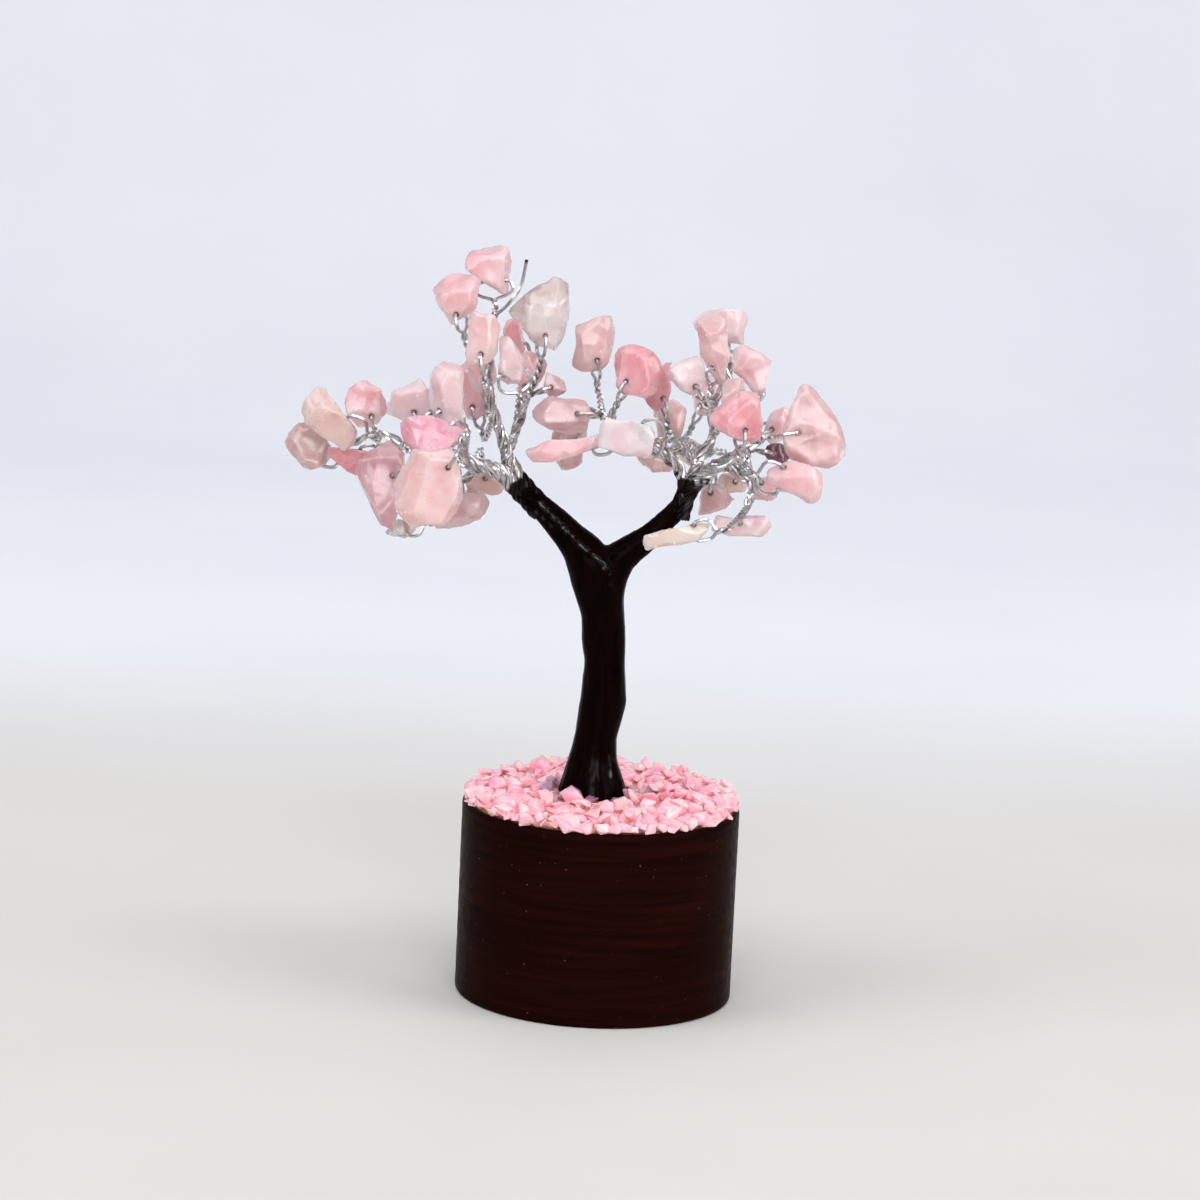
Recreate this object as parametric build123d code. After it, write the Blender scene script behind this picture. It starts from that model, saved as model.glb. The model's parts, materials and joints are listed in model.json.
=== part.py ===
from build123d import *
from collections import namedtuple
import math
import os
import random

# Gemstone tree: a turned wooden base, a coated wire trunk that forks in two, and drilled
# rose quartz chips hung on twisted wire twigs. Millimetres, +Z up, base underside on Z = 0.

# Base
BASE_DIAMETER = 44.0
BASE_HEIGHT = 31.0
BASE_EDGE_BREAK = 0.6
SOCKET_DEPTH = 16.0
SOCKET_CLEARANCE = 0.1

# Glue bed and the small chips scattered on it
GLUE_BED_DEPTH = 1.2
GLUE_BED_MARGIN = 1.2
SCATTER_PITCH = 2.7
SCATTER_FILL = 1.62
SCATTER_LOW = 1.6
SCATTER_HIGH = 3.0
SCATTER_TILT_LEAST = 2.0
SCATTER_TILT = 16.0
SCATTER_SIDES = [5, 6]
SCATTER_SLIM = 0.75
CORNER_SHIFT = 0.25
OBLONG_POWER = 2.6
SCATTER_FOOT_GAP = 0.3
MAUVE_RING = 6.0
MAUVE_EVERY = 2
GOLDEN_ANGLE = 137.5

# Trunk: the coating lies over a core of twisted wire
COAT_THICKNESS = 0.6
CORE_RADIUS = 2.5
FOOT_X = -1.5
TRUNK_SIDES = 16

# Trunk and left limb as one run, then the right limb: side offset, height over the foot, radius
LEFT_RUN = [
    (-1.5, 0.0, 5.6), (-1.6, 2.5, 5.0), (-1.6, 6.0, 3.9), (-1.3, 9.5, 3.4), (-0.4, 15.5, 3.7),
    (-0.5, 22.0, 3.3), (-1.2, 29.0, 3.5), (-2.0, 33.5, 4.0), (-3.4, 37.0, 3.8), (-5.4, 39.8, 3.1),
    (-7.6, 42.0, 2.5), (-9.8, 44.1, 2.2), (-12.9, 46.8, 1.9), (-14.5, 48.3, 1.8),
]
RIGHT_RUN = [
    (-1.0, 31.0, 3.0), (-0.3, 35.5, 3.0), (1.0, 38.2, 2.8), (2.9, 39.8, 2.4), (5.7, 42.0, 2.0),
    (8.1, 44.6, 1.7), (9.8, 46.4, 1.65), (10.7, 47.8, 1.65), (11.1, 49.5, 1.65),
]

# Wires
WIRE_DIAMETER = 0.58
BRANCH_RADIUS = 1.2
BRANCH_GAP = 0.04
BRANCH_LEAD = 1.2
EYE_SIDES = 4
TWIG_SIDES = 5
BRANCH_SIDES = 7

# Drilled chips
CHIP_SCALE = 1.15
HOLE_CLEARANCE = 0.22
HOLE_SIDES = 8
FACE_CLEARANCE = 0.2
LOOP_GAP = 1.6
EYE_MARGIN = 0.7
TWIG_LEAD = 1.8
HOLE_INSET_SHARE = 0.22
HOLE_INSET_LEAST = 1.15
HOLE_INSET_MOST = 2.2
SLAB_SPARE = 1.5
CHIP_THICK_SHARE = 0.55
CHIP_THICK_LEAST = 2.4
CHIP_THICK_MOST = 4.2
FACET_TILT = 24.0
SQUARE_LIMIT = -0.5

# Branch wires, as points from the limb tip: main runs, and side runs that leave a main run
MAIN_RUNS = {
    "left_crown": [(-2.0, 0.6, 3.6), (-4.5, 0.0, 10.0), (-6.0, -1.0, 16.5), (-6.5, -2.5, 20.0)],
    "left_reach": [(-3.6, -1.0, 2.6), (-8.5, -2.0, 4.3), (-13.0, -4.0, 6.0), (-18.5, -2.5, 6.7),
                   (-22.5, -0.5, 8.0)],
    "right_inner": [(-1.9, 0.0, 3.9), (-6.1, -2.0, 7.0), (-12.8, -2.0, 10.6)],
    "right_crown": [(1.6, 1.4, 4.2), (3.5, 1.0, 8.4), (3.2, 2.0, 12.0), (5.4, 2.5, 17.5)],
    "right_reach": [(3.6, -1.6, 3.6), (8.5, -4.0, 7.4), (11.0, -4.5, 9.0)],
}
SIDE_RUNS = {
    "left_crown": [(-2.8, 0.4, 5.6), (-1.8, 2.0, 8.5), (-0.2, 3.0, 14.0)],
    "left_reach": [(-6.0, -1.5, 3.4), (-8.0, 2.5, 2.0), (-10.0, 4.0, 0.3)],
    "right_crown": [(1.6, 1.4, 4.2), (-0.5, 6.0, 5.0), (-1.2, 10.0, 5.5)],
    "right_reach": [(4.6, -2.1, 4.4), (6.6, 1.0, 3.6), (9.5, 1.0, 1.8), (10.2, 0.0, -0.6)],
}
TAIL_BRANCH = "left_crown"
WIRE_TAIL = [(-5.2, 1.0, 27.4), (-3.4, -1.8, 29.5), (-1.8, -1.8, 32.0), (-1.0, -1.6, 36.3)]
# Where each branch leaves the limb tip, round the limb from the back
RING_ANGLES = {"left_crown": 90, "left_reach": 270,
               "right_inner": 100, "right_crown": 340, "right_reach": 220}

# Chips: cluster name, branch, run (main or side) and point the twig leaves from, centre from the limb
# tip, heading of the twig seen from the front, turn about the twig, the outline seen from the front, and
# whether the hole is drilled through the flat of the chip or across it from side to side
Chip = namedtuple("Chip", "cluster branch run point centre heading turn outline drilled",
                  defaults=["through"])
CHIPS = [
    Chip("left_reach_chip", "left_reach", "main", 4, (-34.6, 4.0, 4.2), 190, 15,
         [(3.5, 0.5), (0.5, 3.5), (-2.5, 3.0), (-3.5, 1.5), (-1.5, -2.5), (0.0, -3.5), (3.0, -2.5)],
         "across"),
    Chip("left_reach_chip", "left_reach", "main", 4, (-31.1, -4.0, 10.6), 160, -15,
         [(4.0, -4.0), (4.5, -0.5), (1.5, 3.0), (-2.5, 4.5), (-3.5, 2.5), (-4.0, -1.0)],
         "across"),
    Chip("left_reach_chip", "left_reach", "main", 3, (-25.4, 6.0, 11.6), 110, 10,
         [(3.0, -1.5), (3.0, 1.5), (1.0, 3.5), (-0.5, 3.8),
          (-3.0, 2.5), (-3.3, 0.0), (-1.5, -3.5), (1.0, -3.2)]),
    Chip("left_reach_chip", "left_reach", "main", 3, (-27.7, -0.6, 3.9), 185, -20,
         [(3.3, 0.4), (2.4, 1.6), (-2.4, 2.1), (-3.2, 0.6), (-2.0, -1.0), (-0.5, -2.0), (1.7, -2.3)],
         "across"),
    Chip("left_front_chip", "left_reach", "main", 3, (-22.0, -8.8, 1.5), 205, 15,
         [(3.5, -0.5), (3.0, 4.0), (0.0, 6.0), (-2.5, 4.5),
          (-4.0, 0.5), (-1.5, -4.0), (0.5, -6.5), (2.0, -6.5)]),
    Chip("left_front_chip", "left_reach", "main", 1, (-14.2, -17.5, 1.7), 240, -10,
         [(5.0, 0.0), (3.0, 6.0), (-2.5, 5.5), (-5.0, -2.5), (-2.0, -5.5), (0.5, -5.2), (4.5, -3.0)]),
    Chip("left_front_chip", "left_reach", "main", 2, (-14.5, -11.5, 9.7), 140, 10,
         [(5.0, 1.5), (1.0, 3.0), (-4.5, 2.0), (-2.5, -2.5), (-1.0, -3.5), (1.5, -3.0)],
         "across"),
    Chip("left_front_chip", "left_reach", "side", 2, (-19.5, 1.0, -7.4), 195, 15,
         [(2.5, 0.5), (0.0, 1.3), (-1.4, 1.0), (-2.2, -0.8), (-0.8, -1.4), (1.6, -1.0)],
         "across"),
    Chip("left_mid_chip", "left_reach", "main", 3, (-19.0, 9.5, 12.3), 125, -10,
         [(3.5, -2.0), (3.2, 1.8), (1.7, 3.7), (0.7, 3.5), (-3.3, 0.3), (-3.4, -2.5), (0.0, -3.2)]),
    Chip("left_mid_chip", "left_reach", "main", 2, (-14.4, 2.0, 13.7), 95, 10,
         [(1.5, -4.0), (1.8, -2.5), (0.8, 3.0), (-1.0, 4.6), (-1.5, 0.0), (-1.2, -4.0)],
         "across"),
    Chip("left_mid_chip", "left_reach", "main", 2, (-11.8, -6.0, 15.3), 80, 15,
         [(2.6, -1.5), (2.2, 3.7), (1.3, 4.6), (-1.5, 4.5),
          (-2.6, 3.5), (-1.6, -3.0), (0.0, -4.5), (1.8, -4.5)],
         "across"),
    Chip("left_mid_chip", "left_crown", "main", 1, (-8.8, 7.5, 14.4), 105, -20,
         [(2.4, -2.5), (2.7, 0.5), (1.5, 4.0), (-1.5, 4.2), (-2.5, 0.0), (-1.2, -4.3), (1.0, -4.0)]),
    Chip("left_under_chip", "left_reach", "side", 2, (-10.0, 5.7, -5.2), 275, 15,
         [(4.2, 0.5), (3.6, 3.0), (0.3, 3.1), (-2.0, 1.5),
          (-4.2, -2.3), (-3.6, -3.0), (-1.4, -2.8), (3.3, -0.5)]),
    Chip("left_under_chip", "left_reach", "side", 1, (-6.3, 9.5, -1.1), 280, -15,
         [(3.1, 0.0), (1.5, 1.2), (-1.0, 1.9), (-3.0, 0.8), (-2.2, -1.5), (0.3, -1.9), (2.8, -1.4)]),
    Chip("left_crown_chip", "left_crown", "main", 3, (-11.6, -4.5, 30.4), 105, -15,
         [(4.0, 0.8), (4.0, 2.8), (3.0, 3.5), (-3.3, 1.8),
          (-4.2, 0.6), (-1.8, -3.0), (0.2, -3.7), (3.6, -1.0)]),
    Chip("left_crown_chip", "left_crown", "main", 2, (-6.5, 1.2, 34.7), 97, 10,
         [(3.0, -2.7), (3.0, 2.5), (2.1, 3.4), (-3.9, 1.4), (-3.9, -0.3), (1.3, -3.7), (2.3, -3.7)],
         "across"),
    Chip("left_crown_chip", "left_crown", "side", 2, (1.9, 3.1, 28.0), 88, 15,
         [(4.1, 0.7), (3.6, 4.3), (3.0, 4.9), (-1.4, 4.2), (-3.1, 3.0),
          (-4.5, 0.0), (-0.5, -4.9), (1.5, -5.4), (3.4, -3.0)]),
    Chip("left_crown_chip", "left_crown", "main", 2, (-7.3, -11.0, 25.2), 98, -10,
         [(2.4, -1.0), (2.3, 3.4), (-2.2, 3.6), (-2.5, 0.0), (-2.0, -3.6), (0.0, -4.0), (2.0, -2.5)]),
    Chip("left_crown_chip", "left_crown", "side", 2, (-3.0, -4.5, 21.2), 110, 10,
         [(2.2, -0.5), (1.0, 2.0), (-1.5, 3.6), (-1.9, 1.0),
          (-1.8, -2.0), (-0.3, -3.6), (1.3, -3.2), (2.2, -1.6)],
         "across"),
    Chip("left_crown_chip", "left_crown", "side", 1, (-2.6, 11.5, 23.0), 100, 15,
         [(1.8, -1.0), (1.3, 1.1), (-0.5, 2.6), (-2.0, 2.2), (-2.0, -0.3), (-0.3, -2.3), (0.9, -2.8)],
         "across"),
    Chip("left_crown_chip", "left_crown", "side", 1, (0.3, 6.8, 17.6), 75, -15,
         [(2.0, 1.0), (1.1, 2.6), (-1.5, 3.0), (-2.0, 0.0), (-1.8, -2.8), (-0.3, -3.4), (1.4, -1.5)]),
    Chip("left_crown_chip", "left_crown", "main", 1, (-7.2, 2.5, 18.0), 100, 15,
         [(2.2, -1.5), (2.3, 1.5), (0.5, 2.8), (-2.0, 2.3), (-2.5, 0.0), (-1.0, -3.0), (1.0, -3.0)]),
    Chip("left_crown_chip", "left_crown", "side", 2, (4.5, 4.0, 16.0), 20, -15,
         [(1.7, -0.1), (0.8, 1.3), (-1.5, 1.8), (-1.8, -0.4), (-0.8, -1.7), (1.6, -1.4)]),
    Chip("right_inner_chip", "right_inner", "main", 2, (-16.0, 4.0, 22.1), 100, 15,
         [(3.7, 1.1), (3.2, 4.0), (-2.0, 2.8), (-3.3, 1.8), (-3.4, 0.0),
          (-2.9, -3.0), (-1.3, -4.0), (1.2, -3.9), (3.5, -1.1)]),
    Chip("right_inner_chip", "right_inner", "main", 2, (-8.9, -2.0, 19.1), 65, -15,
         [(3.9, -0.5), (3.2, 2.0), (1.6, 3.5), (-0.9, 4.0), (-3.3, 3.4),
          (-3.5, -1.0), (-1.5, -3.4), (1.2, -3.9), (3.4, -2.8)]),
    Chip("right_inner_chip", "right_inner", "main", 2, (-20.3, 0.0, 11.0), 180, 15,
         [(4.2, 0.3), (2.9, 2.3), (0.7, 2.8), (-2.3, 3.0),
          (-3.8, 1.8), (-4.4, -0.5), (-2.0, -2.5), (3.5, -2.2)]),
    Chip("right_inner_chip", "right_inner", "main", 2, (-19.1, 11.0, 3.5), 250, -15,
         [(3.0, 2.8), (-2.8, 3.2), (-3.0, 1.0), (-1.9, -2.4), (-0.2, -3.4), (1.6, -2.5), (2.9, -0.5)]),
    Chip("right_inner_chip", "right_inner", "main", 1, (-19.1, -6.0, 6.4), 187, 10,
         [(6.0, 1.0), (4.0, 2.0), (-5.0, 0.7), (-6.0, -0.5), (-5.2, -2.0), (-3.0, -2.2), (3.0, -0.8)],
         "across"),
    Chip("right_inner_chip", "right_inner", "main", 1, (-10.0, -12.0, 9.9), 180, -10,
         [(3.9, 0.5), (3.0, 2.4), (-3.0, 2.7), (-3.8, 1.9),
          (-3.5, -2.0), (-1.9, -2.5), (2.8, -2.7), (3.7, -1.7)],
         "across"),
    Chip("right_back_chip", "right_crown", "side", 1, (-5.0, 9.0, 14.6), 105, 15,
         [(2.0, 3.5), (0.5, 3.8), (-2.5, 0.5), (-1.8, -2.3), (-0.5, -3.3), (0.7, -2.6), (1.9, 0.0)]),
    Chip("right_back_chip", "right_crown", "side", 2, (-3.2, 14.6, 8.9), 95, -20,
         [(2.9, 0.0), (2.7, 2.0), (1.7, 2.9), (-1.1, 2.9),
          (-3.0, 1.6), (-2.5, -1.5), (-0.9, -3.0), (2.2, -2.2)]),
    Chip("right_back_chip", "right_crown", "side", 1, (-5.5, 10.0, 3.3), 200, 15,
         [(2.5, -2.2), (2.8, 0.5), (0.0, 2.8), (-2.6, 1.5), (-2.6, 0.0), (-1.0, -1.8)]),
    Chip("right_back_chip", "right_crown", "side", 2, (0.2, 19.5, 3.2), 180, -15,
         [(2.3, -1.0), (2.0, 1.2), (0.0, 2.2), (-2.0, 1.5), (-2.2, -0.5), (0.0, -2.2), (1.5, -2.0)]),
    Chip("right_crown_chip", "right_crown", "main", 1, (-1.0, -2.0, 18.3), 125, 15,
         [(2.2, 0.0), (2.0, 2.8), (0.7, 3.0), (-1.1, 2.2),
          (-3.2, 0.2), (-1.9, -1.7), (0.0, -3.0), (1.7, -2.5)]),
    Chip("right_crown_chip", "right_crown", "main", 3, (4.0, 6.0, 25.8), 105, -15,
         [(3.5, 0.0), (3.4, 2.4), (-1.5, 2.3), (-3.6, 0.9), (-3.6, -1.0), (0.0, -2.8), (3.0, -2.7)]),
    Chip("right_crown_chip", "right_crown", "main", 1, (2.7, -8.0, 23.5), 90, 10,
         [(2.5, 2.3), (1.8, 4.2), (0.4, 4.7), (-2.1, 4.6),
          (-2.8, 3.0), (0.0, -4.2), (0.9, -4.7), (1.9, -3.7)],
         "across"),
    Chip("right_crown_chip", "right_crown", "main", 3, (9.6, 2.0, 19.3), 40, -10,
         [(2.8, 1.0), (2.2, 2.1), (0.2, 3.5), (-1.3, 3.8),
          (-3.0, 2.9), (-2.2, -0.5), (-0.2, -3.0), (1.7, -3.8)],
         "across"),
    Chip("right_crown_chip", "right_reach", "main", 1, (7.6, -13.0, 14.3), 88, 15,
         [(3.8, -1.2), (3.3, 1.2), (2.3, 3.7), (-0.5, 3.5), (-2.1, 2.6),
          (-4.1, -1.0), (-2.8, -2.5), (1.3, -3.8), (3.5, -2.8)]),
    Chip("right_crown_chip", "right_crown", "side", 2, (3.0, 18.4, 12.5), 65, -20,
         [(2.5, 0.5), (1.5, 2.8), (-1.5, 2.8), (-2.5, 0.0), (-1.8, -2.8), (1.0, -2.8)]),
    Chip("right_crown_chip", "right_crown", "main", 1, (6.3, -3.5, 16.0), 70, 15,
         [(2.0, 0.0), (1.5, 2.3), (-0.5, 2.5), (-2.0, 0.5), (-1.8, -2.0), (0.5, -2.6), (1.8, -1.8)]),
    Chip("right_reach_chip", "right_reach", "main", 2, (19.2, -7.0, 11.5), 12, -10,
         [(5.0, -3.0), (3.5, 1.0), (0.5, 5.0), (-0.5, 6.2), (-2.0, 6.2),
          (-4.3, 0.0), (-3.8, -3.0), (-2.5, -4.8), (1.0, -5.9), (2.5, -5.5)]),
    Chip("right_reach_chip", "right_reach", "main", 2, (14.2, 10.0, 9.7), 20, 15,
         [(2.0, 0.0), (1.5, 2.5), (0.5, 2.8), (-1.0, 1.8),
          (-2.0, -1.0), (-1.6, -2.7), (1.0, -2.5), (1.8, -1.5)]),
    Chip("right_reach_chip", "right_reach", "main", 1, (14.1, 3.0, 5.7), 350, -15,
         [(2.3, -0.8), (1.3, 1.5), (0.0, 1.6), (-1.6, 0.9), (-2.0, -0.4), (-0.5, -1.6)]),
    Chip("right_reach_chip", "right_reach", "main", 1, (16.6, -12.0, 3.7), 350, 15,
         [(4.0, 1.0), (3.3, 2.2), (0.8, 3.2), (-1.7, 2.7), (-4.0, 1.2),
          (-4.0, 0.0), (-2.5, -2.0), (0.4, -2.9), (3.2, -3.0), (3.9, -1.4)],
         "across"),
    Chip("right_under_chip", "right_reach", "side", 1, (12.5, 6.0, -0.5), 310, -15,
         [(2.1, -0.9), (1.9, 0.7), (0.4, 1.9), (-2.2, 1.4), (-1.8, -0.9), (-0.2, -1.9)]),
    Chip("right_under_chip", "right_reach", "side", 1, (4.2, 9.0, -3.0), 270, 15,
         [(2.8, 0.5), (1.0, 2.4), (-2.1, 2.2), (-2.3, -2.0), (-1.9, -2.6), (0.6, -2.0), (2.5, -0.9)]),
    Chip("right_under_chip", "right_reach", "side", 2, (7.3, 17.0, -1.4), 250, -15,
         [(2.1, -0.3), (1.0, 1.5), (-1.4, 1.2), (-2.1, -0.5), (-0.5, -1.7), (1.4, -1.5)]),
    Chip("right_under_chip", "right_reach", "side", 3, (8.3, -4.5, -4.8), 255, 10,
         [(4.2, 0.3), (3.3, 1.8), (-3.3, 1.4), (-4.1, 0.0), (-3.6, -1.5), (-0.8, -1.8), (3.0, -1.5)]),
    Chip("right_under_chip", "right_reach", "side", 3, (-2.0, -14.0, -5.3), 192, -10,
         [(4.8, 2.0), (2.2, 2.4), (-3.9, 0.8), (-4.5, -1.0), (-3.7, -2.5), (-1.0, -1.9), (3.9, 0.0)],
         "across"),
]

foot_z = BASE_HEIGHT + GLUE_BED_DEPTH
scatter_size = SCATTER_FILL * SCATTER_PITCH
socket_radius = CORE_RADIUS + SOCKET_CLEARANCE
wire_radius = WIRE_DIAMETER / 2
hole_radius = wire_radius + HOLE_CLEARANCE
loop_standoff = FACE_CLEARANCE + wire_radius


def run_points(run):
    return [Vector(x, 0, foot_z + height) for x, height, radius in run]


def run_directions(points):
    last = len(points) - 1
    return [(points[min(k + 1, last)] - points[max(k - 1, 0)]).normalized() for k in range(last + 1)]


def limb(run, radii):
    points = run_points(run)
    directions = run_directions(points)
    directions[0] = Vector(0, 0, 1)
    sections = []
    for point, direction, radius in zip(points, directions, radii):
        section = Plane(origin=point, x_dir=(0, 1, 0), z_dir=direction)
        sections.append(section * RegularPolygon(radius, TRUNK_SIDES))
    return loft(sections, ruled=True)


def core_radii(run):
    return [min(CORE_RADIUS, radius - COAT_THICKNESS) for x, height, radius in run]


def cover_radii(run):
    return [radius for x, height, radius in run]


def base_block():
    half = BASE_DIAMETER / 2
    body = Cylinder(half, BASE_HEIGHT, align=(Align.CENTER, Align.CENTER, Align.MIN))
    body = chamfer(body.edges().filter_by(GeomType.CIRCLE), BASE_EDGE_BREAK)
    socket = Cylinder(socket_radius, SOCKET_DEPTH, align=(Align.CENTER, Align.CENTER, Align.MAX))
    return body - Pos(FOOT_X, 0, BASE_HEIGHT) * socket


def glue_bed():
    half = BASE_DIAMETER / 2 - GLUE_BED_MARGIN
    disc = Cylinder(half, GLUE_BED_DEPTH, align=(Align.CENTER, Align.CENTER, Align.MIN))
    hole = Pos(FOOT_X, 0, 0) * Cylinder(socket_radius, 3 * GLUE_BED_DEPTH)
    return Pos(0, 0, BASE_HEIGHT) * (disc - hole)


def trunk_core():
    root_length = SOCKET_DEPTH + GLUE_BED_DEPTH
    root = Cylinder(CORE_RADIUS, root_length, align=(Align.CENTER, Align.CENTER, Align.MAX))
    limbs = limb(LEFT_RUN, core_radii(LEFT_RUN)) + limb(RIGHT_RUN, core_radii(RIGHT_RUN))
    return limbs + Pos(FOOT_X, 0, foot_z) * root


def trunk_cover(core):
    return limb(LEFT_RUN, cover_radii(LEFT_RUN)) + limb(RIGHT_RUN, cover_radii(RIGHT_RUN)) - core


def knapped(slab, outline, tilts):
    """Trim a slab to a convex outline; each cut leans by its own tilt and stays inside the outline."""
    box = slab.bounding_box()
    for k, corner in enumerate(outline):
        following = outline[(k + 1) % len(outline)]
        tilt = math.radians(tilts[k])
        normal = side_normal(corner, following) * math.cos(tilt) + Vector(0, 0, math.sin(tilt))
        level = box.min.Z if tilt > 0 else box.max.Z
        cut = Plane(origin=(corner + following) * 0.5 + Vector(0, 0, level), z_dir=normal)
        slab = split(slab, bisect_by=cut, keep=Keep.BOTTOM)
    return slab


def side_normal(corner, following):
    side = following - corner
    return Vector(side.Y, -side.X, 0).normalized()


def stone_outline(length, width, corners, rng):
    """Uneven convex outline with its corners on a rounded oblong."""
    points = []
    for k in range(corners):
        angle = 2 * math.pi * (k + rng.uniform(-CORNER_SHIFT, CORNER_SHIFT)) / corners
        total = abs(math.cos(angle)) ** OBLONG_POWER + abs(math.sin(angle)) ** OBLONG_POWER
        reach = total ** (-1 / OBLONG_POWER)
        points.append(Vector(length / 2 * reach * math.cos(angle), width / 2 * reach * math.sin(angle), 0))
    return points


def scatter_chip(size, height, rng):
    outline = stone_outline(size, size * rng.uniform(SCATTER_SLIM, 1), rng.choice(SCATTER_SIDES), rng)
    slab = Box(SLAB_SPARE * size, SLAB_SPARE * size, height, align=(Align.CENTER, Align.CENTER, Align.MIN))
    tilts = [rng.uniform(SCATTER_TILT_LEAST, SCATTER_TILT) for corner in outline]
    return knapped(slab, outline, tilts)


def scatter():
    """Small chips laid out from the trunk to the rim like seeds in a sunflower."""
    pink, mauve = [], []
    foot_reach = LEFT_RUN[0][2] + scatter_size / 2 + SCATTER_FOOT_GAP
    rim = BASE_DIAMETER / 2
    step = 0
    while True:
        step += 1
        ring = SCATTER_PITCH * math.sqrt(step)
        if ring + scatter_size / 2 > rim:
            break
        angle = math.radians(GOLDEN_ANGLE * step)
        place = Vector(ring * math.cos(angle), ring * math.sin(angle), foot_z)
        from_foot = math.hypot(place.X - FOOT_X, place.Y)
        if from_foot < foot_reach:
            continue
        rng = random.Random(step)
        stone = scatter_chip(scatter_size, rng.uniform(SCATTER_LOW, SCATTER_HIGH), rng)
        stone = Location(place, (0, 0, rng.uniform(0, 360))) * stone
        near_foot = from_foot < foot_reach + MAUVE_RING
        (mauve if near_foot and step % MAUVE_EVERY == 0 else pink).append(stone)
    return pink, mauve


def wire(points, radius, sides):
    start = Plane(origin=points[0], z_dir=points[1] - points[0])
    path = Polyline(*points)
    return sweep(start * RegularPolygon(radius, sides), path=path, transition=Transition.RIGHT)


def limb_tip(branch):
    run = LEFT_RUN if branch.startswith("left") else RIGHT_RUN
    points = run_points(run)
    return points[-1], run_directions(points)[-1]


def tip_offsets(branch, offsets):
    tip, direction = limb_tip(branch)
    return [tip + Vector(*offset) for offset in offsets]


def run_offsets(branch, run):
    return tip_offsets(branch, MAIN_RUNS[branch] if run == "main" else SIDE_RUNS[branch])


def branch_start(branch):
    """Branches leave a limb tip side by side on a ring."""
    tip, direction = limb_tip(branch)
    side = branch.split("_")[0]
    count = len([name for name in MAIN_RUNS if name.startswith(side)])
    ring = (BRANCH_RADIUS + BRANCH_GAP) / math.sin(math.pi / count)
    back = Vector(0, 1, 0)
    over = direction.cross(back)
    if over.Z < 0:
        over = over * -1
    angle = math.radians(RING_ANGLES[branch])
    start = tip + back * (ring * math.cos(angle)) + over * (ring * math.sin(angle))
    return [start, start + direction * BRANCH_LEAD]


def chip_frame(chip):
    """Centre of the chip, with X along its twig and Z along the drilled hole."""
    tip, direction = limb_tip(chip.branch)
    heading = math.radians(chip.heading)
    along = Vector(math.cos(heading), 0, math.sin(heading))
    facing = Vector(0, -1, 0).rotate(Axis((0, 0, 0), along), chip.turn)
    return Plane(origin=tip + Vector(*chip.centre), x_dir=along, z_dir=facing)


def chip_thickness(chip):
    wide = max(x for x, z in chip.outline) - min(x for x, z in chip.outline)
    tall = max(z for x, z in chip.outline) - min(z for x, z in chip.outline)
    return min(CHIP_THICK_MOST, max(CHIP_THICK_LEAST, CHIP_THICK_SHARE * min(wide, tall)))


def chip_outline(chip):
    """The outline in the chip's own frame, X along the twig."""
    heading = math.radians(chip.heading)
    c, s = math.cos(heading), math.sin(heading)
    return [Vector(x * c + z * s, z * c - x * s, 0) * CHIP_SCALE for x, z in chip.outline]


def reach_toward_twig(outline, across):
    """How far the outline reaches back toward the twig, a little to one side of the middle."""
    reach = math.inf
    for k, corner in enumerate(outline):
        normal = side_normal(corner, outline[(k + 1) % len(outline)])
        if normal.X < 0:
            reach = min(reach, (normal.dot(corner) - normal.Y * across) / -normal.X)
    return reach


def near_side(outline):
    return max(reach_toward_twig(outline, across) for across in (-EYE_MARGIN, 0, EYE_MARGIN))


def hole_x(outline):
    length = max(point.X for point in outline) - min(point.X for point in outline)
    inset = min(HOLE_INSET_MOST, max(HOLE_INSET_LEAST, HOLE_INSET_SHARE * length))
    return inset - near_side(outline)


def side_reach(outline, limit):
    """Lowest and highest Y of the part of the outline that is nearer to the twig than limit."""
    levels = [corner.Y for corner in outline if corner.X <= limit]
    for k, corner in enumerate(outline):
        following = outline[(k + 1) % len(outline)]
        if min(corner.X, following.X) < limit < max(corner.X, following.X):
            share = (limit - corner.X) / (following.X - corner.X)
            levels.append(corner.Y + share * (following.Y - corner.Y))
    return min(levels), max(levels)


def hole_frame(chip):
    """The middle of the hole, with X along the twig and Z along the hole."""
    frame = chip_frame(chip)
    middle = frame.from_local_coords(Vector(hole_x(chip_outline(chip)), 0, 0))
    along_hole = frame.z_dir if chip.drilled == "through" else frame.y_dir
    return Plane(origin=middle, x_dir=frame.x_dir, z_dir=along_hole)


def hole_ends(chip):
    """Where the hole comes out of the chip, below and above its middle."""
    if chip.drilled == "through":
        return -chip_thickness(chip) / 2, chip_thickness(chip) / 2
    outline = chip_outline(chip)
    return side_reach(outline, hole_x(outline) + hole_radius)


def chip_tilts(outline):
    """Sides lean in turn to the front and to the back; the side at the twig stays square."""
    tilts = []
    for k, corner in enumerate(outline):
        normal = side_normal(corner, outline[(k + 1) % len(outline)])
        tilts.append(0 if normal.X < SQUARE_LIMIT else FACET_TILT * (-1) ** k)
    return tilts


def canopy_chip(chip):
    outline = chip_outline(chip)
    thickness = chip_thickness(chip)
    width = SLAB_SPARE * 2 * max(corner.length for corner in outline)
    stone = knapped(Box(width, width, thickness), outline, chip_tilts(outline))
    hole = extrude(RegularPolygon(hole_radius, HOLE_SIDES, major_radius=False), width, both=True)
    return chip_frame(chip) * stone - hole_frame(chip) * hole


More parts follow.
